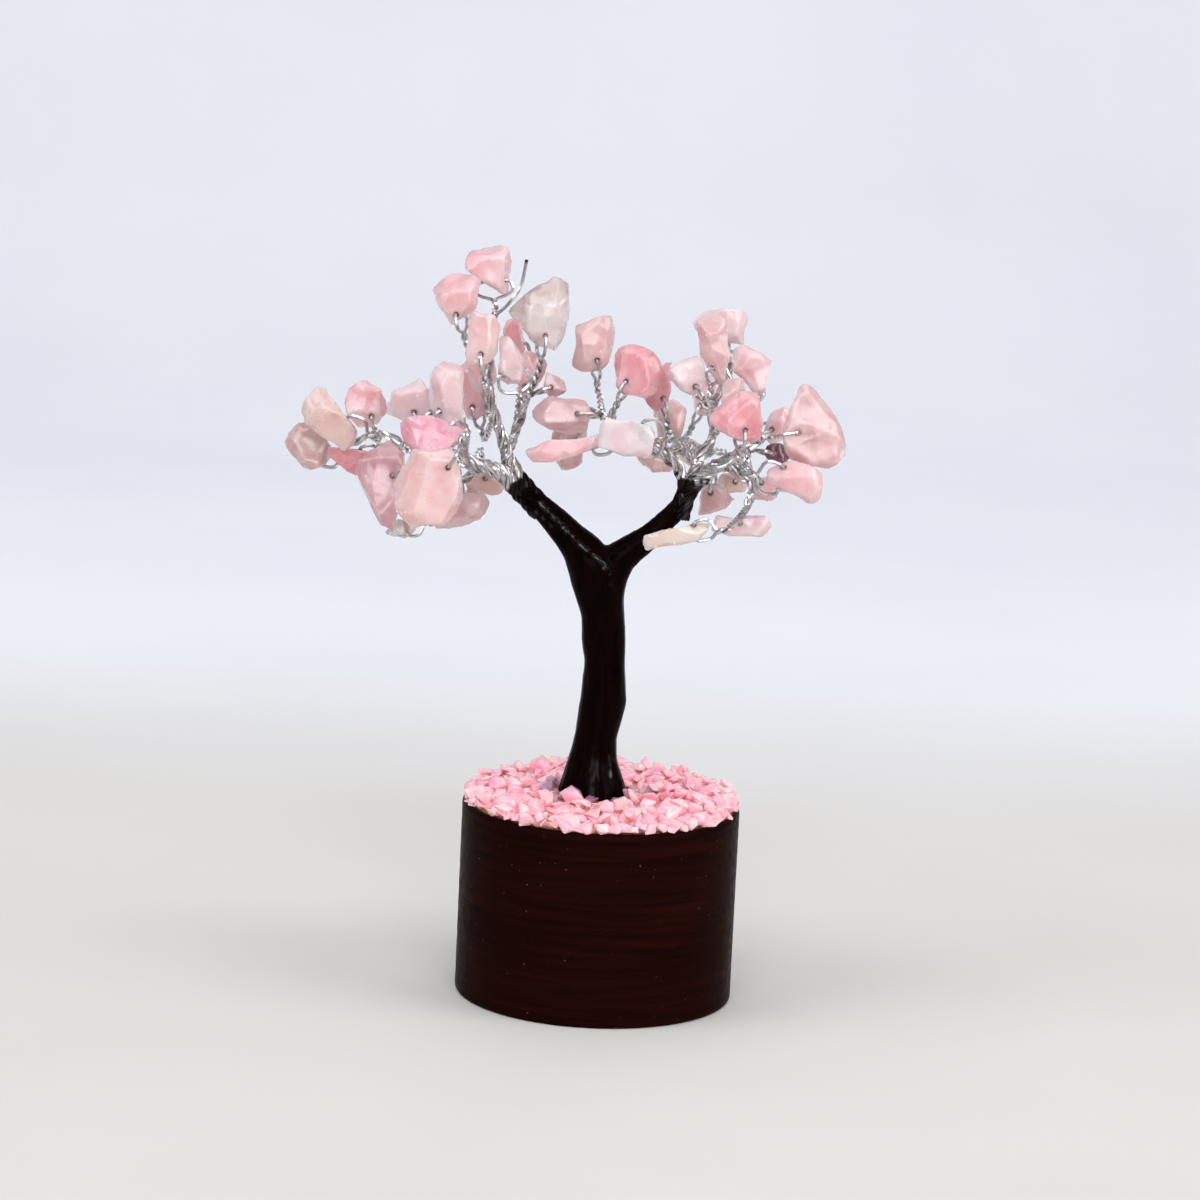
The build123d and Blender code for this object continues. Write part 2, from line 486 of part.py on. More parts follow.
def twig(chip):
    """Twisted stem from the branch to the chip, and the eye that passes through the chip."""
    outline = chip_outline(chip)
    frame = hole_frame(chip)
    edge = -near_side(outline) - hole_x(outline)
    throat = edge - LOOP_GAP
    below, above = hole_ends(chip)
    below, above = below - loop_standoff, above + loop_standoff
    eye = [(throat - WIRE_DIAMETER, wire_radius), (edge - WIRE_DIAMETER, above), (0, above),
           (0, below), (edge - WIRE_DIAMETER, below), (throat - WIRE_DIAMETER, -wire_radius)]
    eye_points = [frame.from_local_coords(Vector(x, 0, z)) for x, z in eye]
    knee = frame.from_local_coords(Vector(throat - TWIG_LEAD, 0, 0))
    stem_end = frame.from_local_coords(Vector(throat, 0, 0))
    stem = wire([run_offsets(chip.branch, chip.run)[chip.point], knee, stem_end], WIRE_DIAMETER, TWIG_SIDES)
    return stem + wire(eye_points, wire_radius, EYE_SIDES)


def branch_wires(branch):
    pieces = [wire(branch_start(branch) + run_offsets(branch, "main"), BRANCH_RADIUS, BRANCH_SIDES)]
    if branch in SIDE_RUNS:
        pieces.append(wire(run_offsets(branch, "side"), BRANCH_RADIUS, BRANCH_SIDES))
    if branch == TAIL_BRANCH:
        pieces.append(wire(tip_offsets(branch, WIRE_TAIL), wire_radius, TWIG_SIDES))
    pieces += [twig(chip) for chip in CHIPS if chip.branch == branch]
    return pieces[0] + pieces[1:]


def nodes():
    core = trunk_core()
    pink, mauve = scatter()
    made = {
        "base_block": base_block(),
        "glue_bed": glue_bed(),
        "base_chips": Compound(children=pink),
        "base_mauve_chips": Compound(children=mauve),
        "trunk_core": core,
        "trunk_cover": trunk_cover(core),
    }
    for branch in MAIN_RUNS:
        made[branch + "_wires"] = branch_wires(branch)
    seen = {}
    for chip in CHIPS:
        seen[chip.cluster] = seen.get(chip.cluster, 0) + 1
        made[f"{chip.cluster}_{seen[chip.cluster]}"] = canopy_chip(chip)
    return made


os.makedirs("parts", exist_ok=True)
for name, shape in nodes().items():
    export_step(shape, f"parts/{name}.step")
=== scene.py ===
import bmesh
import bpy
import json
import math
import random
from collections import namedtuple
from mathutils import Matrix, Vector, geometry, noise
from mathutils.bvhtree import BVHTree


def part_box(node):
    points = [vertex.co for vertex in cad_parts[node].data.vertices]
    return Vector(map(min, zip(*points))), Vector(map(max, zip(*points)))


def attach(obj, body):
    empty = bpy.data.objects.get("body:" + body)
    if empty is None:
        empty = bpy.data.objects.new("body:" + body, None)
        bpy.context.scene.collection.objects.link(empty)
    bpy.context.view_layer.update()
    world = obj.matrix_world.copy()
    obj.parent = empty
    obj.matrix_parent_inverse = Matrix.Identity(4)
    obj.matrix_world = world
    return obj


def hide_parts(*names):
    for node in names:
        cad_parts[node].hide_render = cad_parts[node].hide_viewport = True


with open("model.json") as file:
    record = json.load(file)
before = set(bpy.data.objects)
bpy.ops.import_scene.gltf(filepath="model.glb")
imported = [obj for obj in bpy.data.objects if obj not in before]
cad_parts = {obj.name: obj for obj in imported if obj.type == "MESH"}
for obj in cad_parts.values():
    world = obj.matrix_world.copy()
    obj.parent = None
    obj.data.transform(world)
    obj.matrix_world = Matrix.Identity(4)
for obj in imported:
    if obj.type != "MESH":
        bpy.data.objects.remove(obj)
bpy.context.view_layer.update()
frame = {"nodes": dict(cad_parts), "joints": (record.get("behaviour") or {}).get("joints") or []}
scene = bpy.context.scene
holes = {joint["child"]: joint for joint in frame["joints"]}

# Sizes are in millimetres; a finished mesh is scaled to metres once
MM = 0.001
GOLDEN_ANGLE = math.radians(137.5)
SHARP_EDGE = math.radians(50)

# Camera, from the photograph's viewing angle
CAMERA_PLACE = (0.0, -687.06, 193.99)
CAMERA_AIM = (-1.70, 0.0, 63.55)
CAMERA_ROLL = 2.716
CAMERA_LENS = 133.46

# Base
BASE_SEGMENTS = 200
BASE_RING = 0.36
BASE_CORNER = 0.7
LATHE_DEPTH = 0.05
LATHE_RATE = 1.7
DENT_DEPTH = 0.06
DENT_RATE = 0.55
UNDERSIDE_RINGS = (0.3, 0.9)
TOP_RINGS = (0.94, 0.9, 0.6, 0.2)
RIM_BARE = 1.1
RIM_WANDER = 0.4
RIM_RATE = 0.5
RIM_FADE = 0.25
RIM_TOP = (0.9, 0.3)

# Bed of glue and small chips
GLUE_VOXEL = 0.5
GLUE_ROUNDS = 2
GLUE_WAVE = 0.25
GLUE_RATE = 0.4
BED_LAYERS = [(190, 0.0), (170, 0.8), (70, 1.4)]
LAYER_SINK = 0.6
LAYER_UNEVEN = (-0.3, 0.5)
FIRST_SEED = 0.6
RIM_CHIPS = 76
RIM_JITTER = 0.3
RIM_INSET = (0.8, 1.8)
RIM_LEVEL = (-0.8, -0.1)
BED_SEED = 11
BED_MARGIN = 0.1
PEBBLE_KINDS = 14
PEBBLE_CORNERS = 10
PEBBLE_WIDTH = 0.72
PEBBLE_THICKNESS = 0.52
PEBBLE_EDGE = 0.1
PEBBLE_SIZE = (1.6, 2.9)
PEBBLE_TILT = 32.0
FOOT_RADIUS = 5.0
FOOT_X = -1.5
FOOT_OVERLAP = 0.4
MAUVE_REACH = 9.5
MAUVE_SHARE = 0.55

# Trunk
TRUNK_VOXEL = 0.3
TRUNK_ROUNDS = 16
TRUNK_LUMP = 0.16
LUMP_RATE = 0.22
TRUNK_STREAK = 0.06
STREAK_ACROSS = 1.6
STREAK_ALONG = 0.25
SEAM = [(-11.6, 78.6), (-8.4, 75.6), (-5.6, 72.9), (-3.2, 71.2), (-1.6, 70.1), (-0.4, 67.8)]
SEAM_WIDTH = 0.75
SEAM_HEIGHT = 0.4
STRANDS = 9
STRAND_HEIGHT = 0.3
STRAND_LENGTH = 4.5
STRAND_PITCH = 14.0
SHEEN_LINES = [
    ([(-11.6, 78.8), (-8.4, 75.8), (-5.6, 73.1), (-3.2, 71.4), (-1.6, 70.3), (-0.6, 68.2)], 0.5, 1.0),
    ([(-12.4, 77.4), (-9.8, 75.2)], 0.3, 1.0),
    ([(1.3, 36.0), (0.9, 39.2)], 0.3, 1.0),
    ([(-1.8, 33.4), (-1.0, 38.0)], 1.6, 0.12),
    ([(9.6, 79.6), (10.2, 81.0)], 0.5, 0.8),
]
SHEEN_RIPPLE = 1.3

# Wires
WIRE_RADIUS = 0.29
WIRE_SIDES = 6
WIRE_STEP = 0.24
TWIST_RADIUS = 0.3
TWIST_PITCH = 2.5
BUNDLE_PITCH = 9.0
BUNDLE_SPACING = 0.25
PART_LENGTH = 3.0
EYE_GAP = 1.6
EYE_STANDOFF = 0.48
EYE_SIDE = 0.7
EYE_BEND = 0.5
FAR_OUT = 20.0
TWIG_LEAD = 1.8
LIMB_ROOT = 4.5
PAINT_REACH = 2.0
PAINT_WANDER = 1.6
PAINT_RATE = 0.9
PAINT_FADE = 0.25
LIMB_REACH = 2.2
TAIL_DARK = (0.8, 0.3)
HOLE_PROBES = 8

# Stage
LAMP_SPREAD = 92.0
FLOOR_REACH = 4000.0
FLOOR_ROWS = (60, 120, 180, 240, 300, 500)
BACKDROP_ROWS = [(620, 12), (720, 60), (780, 150), (800, 300), (800, 1100)]
COOL_FROM = 90.0
COOL_TO = 300.0

# Drilled chips
STONE_VOXEL = 0.24
STONE_ROUNDS = 7
STONE_LUMP = 0.26
STONE_LUMP_RATE = 0.33
STONE_SINK = 0.3
STONE_SCAR = 0.7
STONE_SCAR_RATE = 0.3
STONE_SCAR_EDGE = 0.5
STONE_GRAIN = 0.02
STONE_GRAIN_RATE = 1.3
FLAKES = 5
FLAKE_JITTER = 0.3
FLAKE_LEAN = (28, 55)
FLAKE_SHARE = (0.1, 0.26)
EDGE_CURVE = (0.02, 0.16)
HOLE_RADIUS = 0.38
# Reach of the darkening round each hole, partly a stain and partly painted shade
HOLE_STAIN_AND_SHADE = 0.62
DRILL_SIDES = 14
DRILL_LENGTH = 24.0

# Limb tips and the way they point, and the branch runs as points from the tip
LIMB_TIPS = {"left": Vector((-14.5, 0, 80.5)), "right": Vector((11.1, 0, 81.7))}
LIMB_WAYS = {"left": Vector((-1.6, 0, 1.5)).normalized(), "right": Vector((0.4, 0, 1.7)).normalized()}
BRANCH_ROOTS = {
    "left_crown": (0.5, 0.0, 0.5), "left_reach": (-0.5, 0.0, -0.5),
    "right_inner": (-0.6, -0.2, 0.1), "right_crown": (0.3, 0.6, 0.0), "right_reach": (0.4, -0.5, -0.1),
}
MAIN_RUNS = {
    "left_crown": [(-2.0, 0.6, 3.6), (-4.5, 0.0, 10.0), (-6.0, -1.0, 16.5), (-6.5, -2.5, 20.0)],
    "left_reach": [(-3.6, -1.0, 2.6), (-8.5, -2.0, 4.3), (-13.0, -4.0, 6.0), (-18.5, -2.5, 6.7),
                   (-22.5, -0.5, 8.0)],
    "right_inner": [(-1.9, 0.0, 3.9), (-6.1, -2.0, 7.0), (-12.8, -2.0, 10.6)],
    "right_crown": [(1.6, 1.4, 4.2), (3.5, 1.0, 8.4), (3.2, 2.0, 12.0), (5.4, 2.5, 17.5)],
    "right_reach": [(3.6, -1.6, 3.6), (8.5, -4.0, 7.4), (11.0, -4.5, 9.0)],
}
SIDE_RUNS = {
    "left_crown": [(-2.8, 0.4, 5.6), (-1.8, 2.0, 8.5), (-0.2, 3.0, 14.0)],
    "left_reach": [(-6.0, -1.5, 3.4), (-8.0, 2.5, 2.0), (-10.0, 4.0, 0.3)],
    "right_crown": [(1.6, 1.4, 4.2), (-0.5, 6.0, 5.0), (-1.2, 10.0, 5.5)],
    "right_reach": [(4.6, -2.1, 4.4), (6.6, 1.0, 3.6), (9.5, 1.0, 1.8), (10.2, 0.0, -0.6)],
}
WIRE_TAIL = [(-5.2, 1.0, 27.4), (-3.4, -1.8, 29.5), (-1.8, -1.8, 32.0), (-1.0, -1.6, 36.3)]

# Each chip's twig: branch, run, point of the run it leaves from, heading seen from the front, stone tone
Twig = namedtuple("Twig", "branch run point heading tone")
TWIGS = {
    "left_reach_chip_1": Twig("left_reach", "main", 4, 190, "grey"),
    "left_reach_chip_2": Twig("left_reach", "main", 4, 160, "beige"),
    "left_reach_chip_3": Twig("left_reach", "main", 3, 110, "rose"),
    "left_reach_chip_4": Twig("left_reach", "main", 3, 185, "red"),
    "left_front_chip_1": Twig("left_reach", "main", 3, 205, "mist"),
    "left_front_chip_2": Twig("left_reach", "main", 1, 240, "peach"),
    "left_front_chip_3": Twig("left_reach", "main", 2, 140, "hot"),
    "left_front_chip_4": Twig("left_reach", "side", 2, 195, "clear"),
    "left_mid_chip_1": Twig("left_reach", "main", 3, 125, "pale"),
    "left_mid_chip_2": Twig("left_reach", "main", 2, 95, "blush"),
    "left_mid_chip_3": Twig("left_reach", "main", 2, 80, "pale"),
    "left_mid_chip_4": Twig("left_crown", "main", 1, 105, "rose"),
    "left_under_chip_1": Twig("left_reach", "side", 2, 275, "dull"),
    "left_under_chip_2": Twig("left_reach", "side", 1, 280, "beige"),
    "left_crown_chip_1": Twig("left_crown", "main", 3, 105, "rose"),
    "left_crown_chip_2": Twig("left_crown", "main", 2, 97, "rose"),
    "left_crown_chip_3": Twig("left_crown", "side", 2, 88, "clear"),
    "left_crown_chip_4": Twig("left_crown", "main", 2, 98, "peach"),
    "left_crown_chip_5": Twig("left_crown", "side", 2, 110, "pale"),
    "left_crown_chip_6": Twig("left_crown", "side", 1, 100, "salmon"),
    "left_crown_chip_7": Twig("left_crown", "side", 1, 75, "peach"),
    "left_crown_chip_8": Twig("left_crown", "main", 1, 100, "rose"),
    "left_crown_chip_9": Twig("left_crown", "side", 2, 20, "rose"),
    "right_inner_chip_1": Twig("right_inner", "main", 2, 100, "dull"),
    "right_inner_chip_2": Twig("right_inner", "main", 2, 65, "salmon"),
    "right_inner_chip_3": Twig("right_inner", "main", 2, 180, "dull"),
    "right_inner_chip_4": Twig("right_inner", "main", 2, 250, "dull"),
    "right_inner_chip_5": Twig("right_inner", "main", 1, 187, "rose"),
    "right_inner_chip_6": Twig("right_inner", "main", 1, 180, "blush"),
    "right_back_chip_1": Twig("right_crown", "side", 1, 105, "salmon"),
    "right_back_chip_2": Twig("right_crown", "side", 2, 95, "dull"),
    "right_back_chip_3": Twig("right_crown", "side", 1, 200, "beige"),
    "right_back_chip_4": Twig("right_crown", "side", 2, 180, "beige"),
    "right_crown_chip_1": Twig("right_crown", "main", 1, 125, "pale"),
    "right_crown_chip_2": Twig("right_crown", "main", 3, 105, "pale"),
    "right_crown_chip_3": Twig("right_crown", "main", 1, 90, "dull"),
    "right_crown_chip_4": Twig("right_crown", "main", 3, 40, "rose"),
    "right_crown_chip_5": Twig("right_reach", "main", 1, 88, "salmon"),
    "right_crown_chip_6": Twig("right_crown", "side", 2, 65, "pale"),
    "right_crown_chip_7": Twig("right_crown", "main", 1, 70, "dull"),
    "right_reach_chip_1": Twig("right_reach", "main", 2, 12, "dull"),
    "right_reach_chip_2": Twig("right_reach", "main", 2, 20, "rose"),
    "right_reach_chip_3": Twig("right_reach", "main", 1, 350, "mauve"),
    "right_reach_chip_4": Twig("right_reach", "main", 1, 350, "rose"),
    "right_under_chip_1": Twig("right_reach", "side", 1, 310, "rose"),
    "right_under_chip_2": Twig("right_reach", "side", 1, 270, "dull"),
    "right_under_chip_3": Twig("right_reach", "side", 2, 250, "beige"),
    "right_under_chip_4": Twig("right_reach", "side", 3, 255, "pale"),
    "right_under_chip_5": Twig("right_reach", "side", 3, 192, "cream"),
}

# Stone tones as seen on screen: deep, main and pale colour
TONES = {
    "grey": ((198, 160, 160), (214, 182, 180), (226, 202, 198)),
    "beige": ((222, 182, 174), (236, 206, 200), (246, 222, 216)),
    "pale": ((248, 200, 204), (254, 219, 222), (255, 235, 236)),
    "rose": ((242, 178, 184), (251, 201, 206), (254, 222, 224)),
    "red": ((228, 136, 148), (244, 162, 171), (250, 188, 193)),
    "hot": ((237, 151, 173), (247, 180, 196), (254, 207, 217)),
    "peach": ((249, 190, 190), (254, 209, 209), (255, 229, 227)),
    "salmon": ((226, 148, 157), (241, 174, 182), (249, 201, 206)),
    "dull": ((216, 168, 170), (231, 194, 196), (242, 215, 215)),
    "clear": ((230, 208, 203), (241, 225, 220), (251, 240, 236)),
    "mist": ((197, 146, 155), (213, 167, 174), (229, 193, 198)),
    "blush": ((252, 210, 218), (255, 228, 233), (255, 241, 244)),
    "cream": ((252, 207, 191), (255, 223, 213), (255, 237, 229)),
    "mauve": ((74, 34, 52), (120, 70, 96), (158, 116, 140)),
}
TONE_SLOTS = {"clear": "clear_quartz", "mauve": "mauve_quartz"}


def linear(value):
    value /= 255
    return value / 12.92 if value <= 0.04045 else ((value + 0.055) / 1.055) ** 2.4


def on_screen(red, green, blue):
    """A colour as seen on screen, 0 to 255, as a shader takes it."""
    return (linear(red), linear(green), linear(blue), 1.0)


def fade(value, low, high):
    """0 below low, 1 above high and smooth between them."""
    share = min(1.0, max(0.0, (value - low) / (high - low)))
    return share * share * (3 - 2 * share)


# Node helpers

def principled(name):
    made = bpy.data.materials.new(name)
    made.use_nodes = True
    tree = made.node_tree
    return made, tree, tree.nodes["Principled BSDF"]


def node(tree, kind, **values):
    made = tree.nodes.new(kind)
    for key, value in values.items():
        setattr(made, key, value)
    return made


def place(tree, stretch=(1, 1, 1)):
    """The piece's own coordinates in metres, stretched."""
    mapping = node(tree, "ShaderNodeMapping")
    mapping.inputs["Scale"].default_value = stretch
    tree.links.new(node(tree, "ShaderNodeTexCoord").outputs["Object"], mapping.inputs["Vector"])
    return mapping.outputs["Vector"]


def clouds(tree, where, scale, detail=3.0, distortion=0.0):
    made = node(tree, "ShaderNodeTexNoise")
    made.inputs["Scale"].default_value = scale
    made.inputs["Detail"].default_value = detail
    made.inputs["Distortion"].default_value = distortion
    tree.links.new(where, made.inputs["Vector"])
    return made.outputs["Fac"]


def cell_edges(tree, where, scale):
    made = node(tree, "ShaderNodeTexVoronoi", feature="DISTANCE_TO_EDGE")
    made.inputs["Scale"].default_value = scale
    tree.links.new(where, made.inputs["Vector"])
    return made.outputs["Distance"]


def ramp(tree, factor, *stops):
    made = node(tree, "ShaderNodeValToRGB")
    elements = made.color_ramp.elements
    while len(elements) < len(stops):
        elements.new(0.5)
    for element, (position, colour) in zip(elements, stops):
        element.position = position
        element.color = colour
    tree.links.new(factor, made.inputs["Fac"])
    return made.outputs["Color"]


def grey(value):
    return (value, value, value, 1.0)


def mixed(tree, factor, first, second):
    """Two colours mixed by a factor; each may be a socket or a plain value."""
    made = node(tree, "ShaderNodeMix", data_type="RGBA")
    for socket, value in zip((made.inputs[0], made.inputs[6], made.inputs[7]), (factor, first, second)):
        if isinstance(value, (tuple, float)):
            socket.default_value = value
        else:
            tree.links.new(value, socket)
    return made.outputs[2]


def attribute(tree, name):
    return node(tree, "ShaderNodeAttribute", attribute_name=name).outputs["Fac"]


def bump(tree, shader, height, strength, distance):
    made = node(tree, "ShaderNodeBump")
    made.inputs["Strength"].default_value = strength
    made.inputs["Distance"].default_value = distance
    tree.links.new(height, made.inputs["Height"])
    tree.links.new(made.outputs["Normal"], shader.inputs["Normal"])


# Materials, with texture scales per metre

def stone_shader(tree, shader, glow, through, polish):
    """Soft translucent stone with a tumbled polish."""
    shader.inputs["IOR"].default_value = 1.54
    shader.inputs["Subsurface Weight"].default_value = glow
    shader.inputs["Subsurface Radius"].default_value = (1.0, 0.7, 0.65)
    shader.inputs["Subsurface Scale"].default_value = 2.4 * MM
    shader.inputs["Transmission Weight"].default_value = through
    shader.inputs["Coat Weight"].default_value = polish
    shader.inputs["Coat Roughness"].default_value = 0.09
    where = place(tree)
    wear = clouds(tree, where, 420, 3.0)
    tree.links.new(ramp(tree, wear, (0.35, grey(0.1)), (0.7, grey(0.3))), shader.inputs["Roughness"])
    bump(tree, shader, clouds(tree, where, 800, 3.0), 0.18, 0.2 * MM)


def quartz(tone, glow=0.85, through=0.3, veiling=0.15):
    """Rose quartz: clouds of deep and pale stone, white veils, a few rusty specks, pale edges that are partly
    frosting and partly painted highlight, drill holes darkened partly by a stain and partly by painted shade.
    """
    made, tree, shader = principled(tone + "_quartz_look")
    deep, main, pale = (on_screen(*colour) for colour in TONES[tone])
    where = place(tree)
    cloud = clouds(tree, where, 210, 4.0, 0.6)
    body = ramp(tree, cloud, (0.25, deep), (0.5, main), (0.75, pale))
    cracks = cell_edges(tree, place(tree, (1, 1, 0.6)), 230)
    veil = ramp(tree, cracks, (0.0, grey(veiling)), (0.05, grey(0.0)))
    # Pale edges where the stone turns sharply: partly frosting on the chipped edges, partly a painted
    # highlight along the ridges.
    frost_and_highlight = ramp(tree, attribute(tree, "edge"), (0.0, grey(0.0)), (1.0, grey(0.4)))
    veiled = mixed(tree, veil, mixed(tree, frost_and_highlight, body, pale), on_screen(255, 242, 240))
    speck = ramp(tree, clouds(tree, where, 900, 2.0), (0.72, grey(0.0)), (0.8, grey(0.4)))
    specked = mixed(tree, speck, veiled, on_screen(168, 78, 84))
    # Darker brown round the drill hole: partly a rust stain, partly painted shade inside the hole.
    stain_and_shade = mixed(tree, attribute(tree, "hole"), specked, on_screen(176, 112, 106))
    tree.links.new(stain_and_shade, shader.inputs["Base Color"])
    stone_shader(tree, shader, glow, through, 0.4)
    return made


def bed_quartz(name, deep, main, pale, variety):
    """Small chips of the bed, each a little different in colour."""
    made, tree, shader = principled(name)
    cloud = clouds(tree, place(tree), 420, 3.0, 0.4)
    body = ramp(tree, cloud, (0.32, on_screen(*deep)), (0.52, on_screen(*main)), (0.7, on_screen(*pale)))
    tint = ramp(tree, attribute(tree, "tint"),
                (0.0, on_screen(246, 146, 174)), (0.35, on_screen(255, 188, 204)),
                (0.7, on_screen(255, 196, 192)), (1.0, on_screen(255, 226, 230)))
    tree.links.new(mixed(tree, variety, body, tint), shader.inputs["Base Color"])
    stone_shader(tree, shader, 0.25, 0.0, 0.6)
    shader.inputs["Subsurface Scale"].default_value = 0.6 * MM
    return made


def painted_wood():
    """Dark brown paint over turned wood, with the bare wood showing at the top."""
    made, tree, shader = principled("painted_wood_look")
    rings = clouds(tree, place(tree, (0.05, 0.05, 1)), 900, 3.0)
    blotch = clouds(tree, place(tree), 90, 4.0)
    brush = ramp(tree, rings, (0.3, on_screen(15, 4, 3)), (0.7, on_screen(40, 12, 8)))
    dust = ramp(tree, clouds(tree, place(tree), 1700, 1.0), (0.76, grey(0.0)), (0.8, grey(0.2)))
    paint = mixed(tree, dust, mixed(tree, blotch, brush, on_screen(22, 6, 4)), on_screen(150, 124, 112))
    grain = ramp(tree, clouds(tree, place(tree, (1, 0.2, 1)), 500, 4.0), (0.3, on_screen(150, 98, 56)),
                 (0.7, on_screen(206, 156, 100)))
    tree.links.new(mixed(tree, attribute(tree, "paint"), grain, paint), shader.inputs["Base Color"])
    gloss = clouds(tree, place(tree), 700, 4.0)
    tree.links.new(ramp(tree, gloss, (0.3, grey(0.26)), (0.7, grey(0.44))), shader.inputs["Roughness"])
    shader.inputs["Specular IOR Level"].default_value = 0.008
    bump(tree, shader, clouds(tree, place(tree, (0.3, 0.3, 2)), 1100, 5.0), 0.4, 0.1 * MM)
    return made


def glue():
    """Clear glue over the bare wood, coloured warm pink between the chips as painted shade and light from the
    pink chips.
    """
    made, tree, shader = principled("glue_pink_shade_look")
    tone = clouds(tree, place(tree), 260, 3.0)
    # The pink is painted shade and light from the pink chips in the gaps, not the colour of clear glue.
    tree.links.new(ramp(tree, tone, (0.3, on_screen(232, 146, 146)), (0.7, on_screen(250, 190, 186))),
                   shader.inputs["Base Color"])
    shader.inputs["Roughness"].default_value = 0.2
    shader.inputs["Subsurface Weight"].default_value = 0.4
    shader.inputs["Subsurface Scale"].default_value = 1.0 * MM
    bump(tree, shader, clouds(tree, place(tree), 700, 2.0), 0.3, 0.2 * MM)
    return made


def trunk_coating(name):
    """Thick dark brown lacquer with brush streaks along the limbs."""
    made, tree, shader = principled(name)
    streak = clouds(tree, place(tree, (1, 1, 0.16)), 900, 4.0)
    tree.links.new(ramp(tree, streak, (0.3, on_screen(5, 1, 1)), (0.75, on_screen(16, 5, 3))),
                   shader.inputs["Base Color"])
    tree.links.new(ramp(tree, streak, (0.3, grey(0.16)), (0.7, grey(0.3))), shader.inputs["Roughness"])
    shader.inputs["Specular IOR Level"].default_value = 0.016
    tree.links.new(ramp(tree, attribute(tree, "gloss"), (0.0, grey(0.0)), (1.0, grey(0.9))),
                   shader.inputs["Coat Weight"])
    shader.inputs["Coat Roughness"].default_value = 0.09
    bump(tree, shader, streak, 0.25, 0.12 * MM)
    return made


def silver_wire():
    """Bright tinned wire, dulled in patches, with brown lacquer where it leaves the limbs."""
    made, tree, shader = principled("silver_wire_look")
    patch = clouds(tree, place(tree), 600, 3.0)
    metal = ramp(tree, patch, (0.3, on_screen(158, 155, 156)), (0.65, on_screen(222, 220, 221)))
    paint = attribute(tree, "paint")
    tree.links.new(mixed(tree, paint, metal, on_screen(16, 6, 4)), shader.inputs["Base Color"])
    tree.links.new(ramp(tree, paint, (0.0, grey(1.0)), (1.0, grey(0.0))), shader.inputs["Metallic"])
    tree.links.new(ramp(tree, patch, (0.3, grey(0.34)), (0.7, grey(0.16))), shader.inputs["Roughness"])
    shader.inputs["Specular IOR Level"].default_value = 0.15
    bump(tree, shader, clouds(tree, place(tree), 4000, 2.0), 0.1, 0.05 * MM)
    return made


def plain_ground():
    """Matt pale ground with a faint mottle, warm near the object and cool toward the backdrop, where it also
    glows faintly as painted light.
    """
    made, tree, shader = principled("pale_ground_look")
    mottle = clouds(tree, place(tree), 9, 3.0)
    floor = ramp(tree, mottle, (0.3, on_screen(212, 210, 205)), (0.7, on_screen(218, 216, 212)))
    wall = ramp(tree, mottle, (0.3, on_screen(220, 222, 229)), (0.7, on_screen(225, 227, 233)))
    tree.links.new(mixed(tree, attribute(tree, "wall"), floor, wall), shader.inputs["Base Color"])
    shader.inputs["Roughness"].default_value = 0.8
    shader.inputs["Specular IOR Level"].default_value = 0.2
    # The backdrop glows faintly: painted light that brightens the wall and lights the object from behind.
    shader.inputs["Emission Color"].default_value = on_screen(250, 251, 255)
    tree.links.new(ramp(tree, attribute(tree, "wall"), (0.0, grey(0.0)), (1.0, grey(0.14))),
                   shader.inputs["Emission Strength"])
    return made


# Mesh helpers

def node_mesh(*names):
    """CAD nodes joined as one welded mesh, in millimetres."""
    bm = bmesh.new()
    for name in names:
        bm.from_mesh(frame["nodes"][name].data)
    bmesh.ops.scale(bm, vec=(1 / MM,) * 3, verts=bm.verts)
    bmesh.ops.remove_doubles(bm, verts=bm.verts, dist=MM)
    return bm


def to_mesh(bm, name="draft"):
    mesh = bpy.data.meshes.new(name)
    bm.to_mesh(mesh)
    bm.free()
    return mesh


def with_modifiers(mesh, *steps):
    """The mesh after modifiers, each given as its type and settings."""
    holder = bpy.data.objects.new("holder", mesh)
    scene.collection.objects.link(holder)
    for kind, values in steps:
        modifier = holder.modifiers.new(kind, kind)
        for key, value in values.items():
            setattr(modifier, key, value)
    graph = bpy.context.evaluated_depsgraph_get()
    result = bpy.data.meshes.new_from_object(holder.evaluated_get(graph))
    bpy.data.objects.remove(holder)
    bpy.data.meshes.remove(mesh)
    return result


def remeshed(mesh, voxel, rounds):
    """Even skin over the mesh, with its corners worn round."""
    return with_modifiers(mesh, ("REMESH", {"mode": "VOXEL", "voxel_size": voxel}),
                          ("SMOOTH", {"factor": 0.5, "iterations": rounds}))


def displaced(mesh, depth):
    """Move each vertex along its normal by depth(place, normal)."""
    normals = [normal.vector.copy() for normal in mesh.vertex_normals]
    for vertex, normal in zip(mesh.vertices, normals):
        vertex.co += normal * depth(vertex.co, normal)


def box_of(points):
    return [(min(point[k] for point in points), max(point[k] for point in points)) for k in range(3)]


def fitted(mesh, corners):
    """Stretch the mesh to the box of its CAD corners, which rounding has shrunk it from."""
    wanted = box_of(corners)
    found = box_of([vertex.co for vertex in mesh.vertices])
    for vertex in mesh.vertices:
        for k in range(3):
            share = (vertex.co[k] - found[k][0]) / (found[k][1] - found[k][0])
            vertex.co[k] = wanted[k][0] + share * (wanted[k][1] - wanted[k][0])


def mark(mesh, name, value):
    """Store value(place) on each vertex for a material to read."""
    layer = mesh.attributes.new(name, "FLOAT", "POINT")
    for vertex, item in zip(mesh.vertices, layer.data):
        item.value = value(vertex.co)


def piece(name, mesh, body, look, slot, *nodes):
    """A finished mesh as a piece that rides a body and stands for CAD nodes."""
    mesh.transform(Matrix.Scale(MM, 4))
    mesh.shade_smooth()
    mesh.set_sharp_from_angle(angle=SHARP_EDGE)
    mesh.materials.clear()
    mesh.materials.append(look)
    made = bpy.data.objects.new(name, mesh)
    scene.collection.objects.link(made)
    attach(made, body)
    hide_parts(*nodes)
    return made


# Base

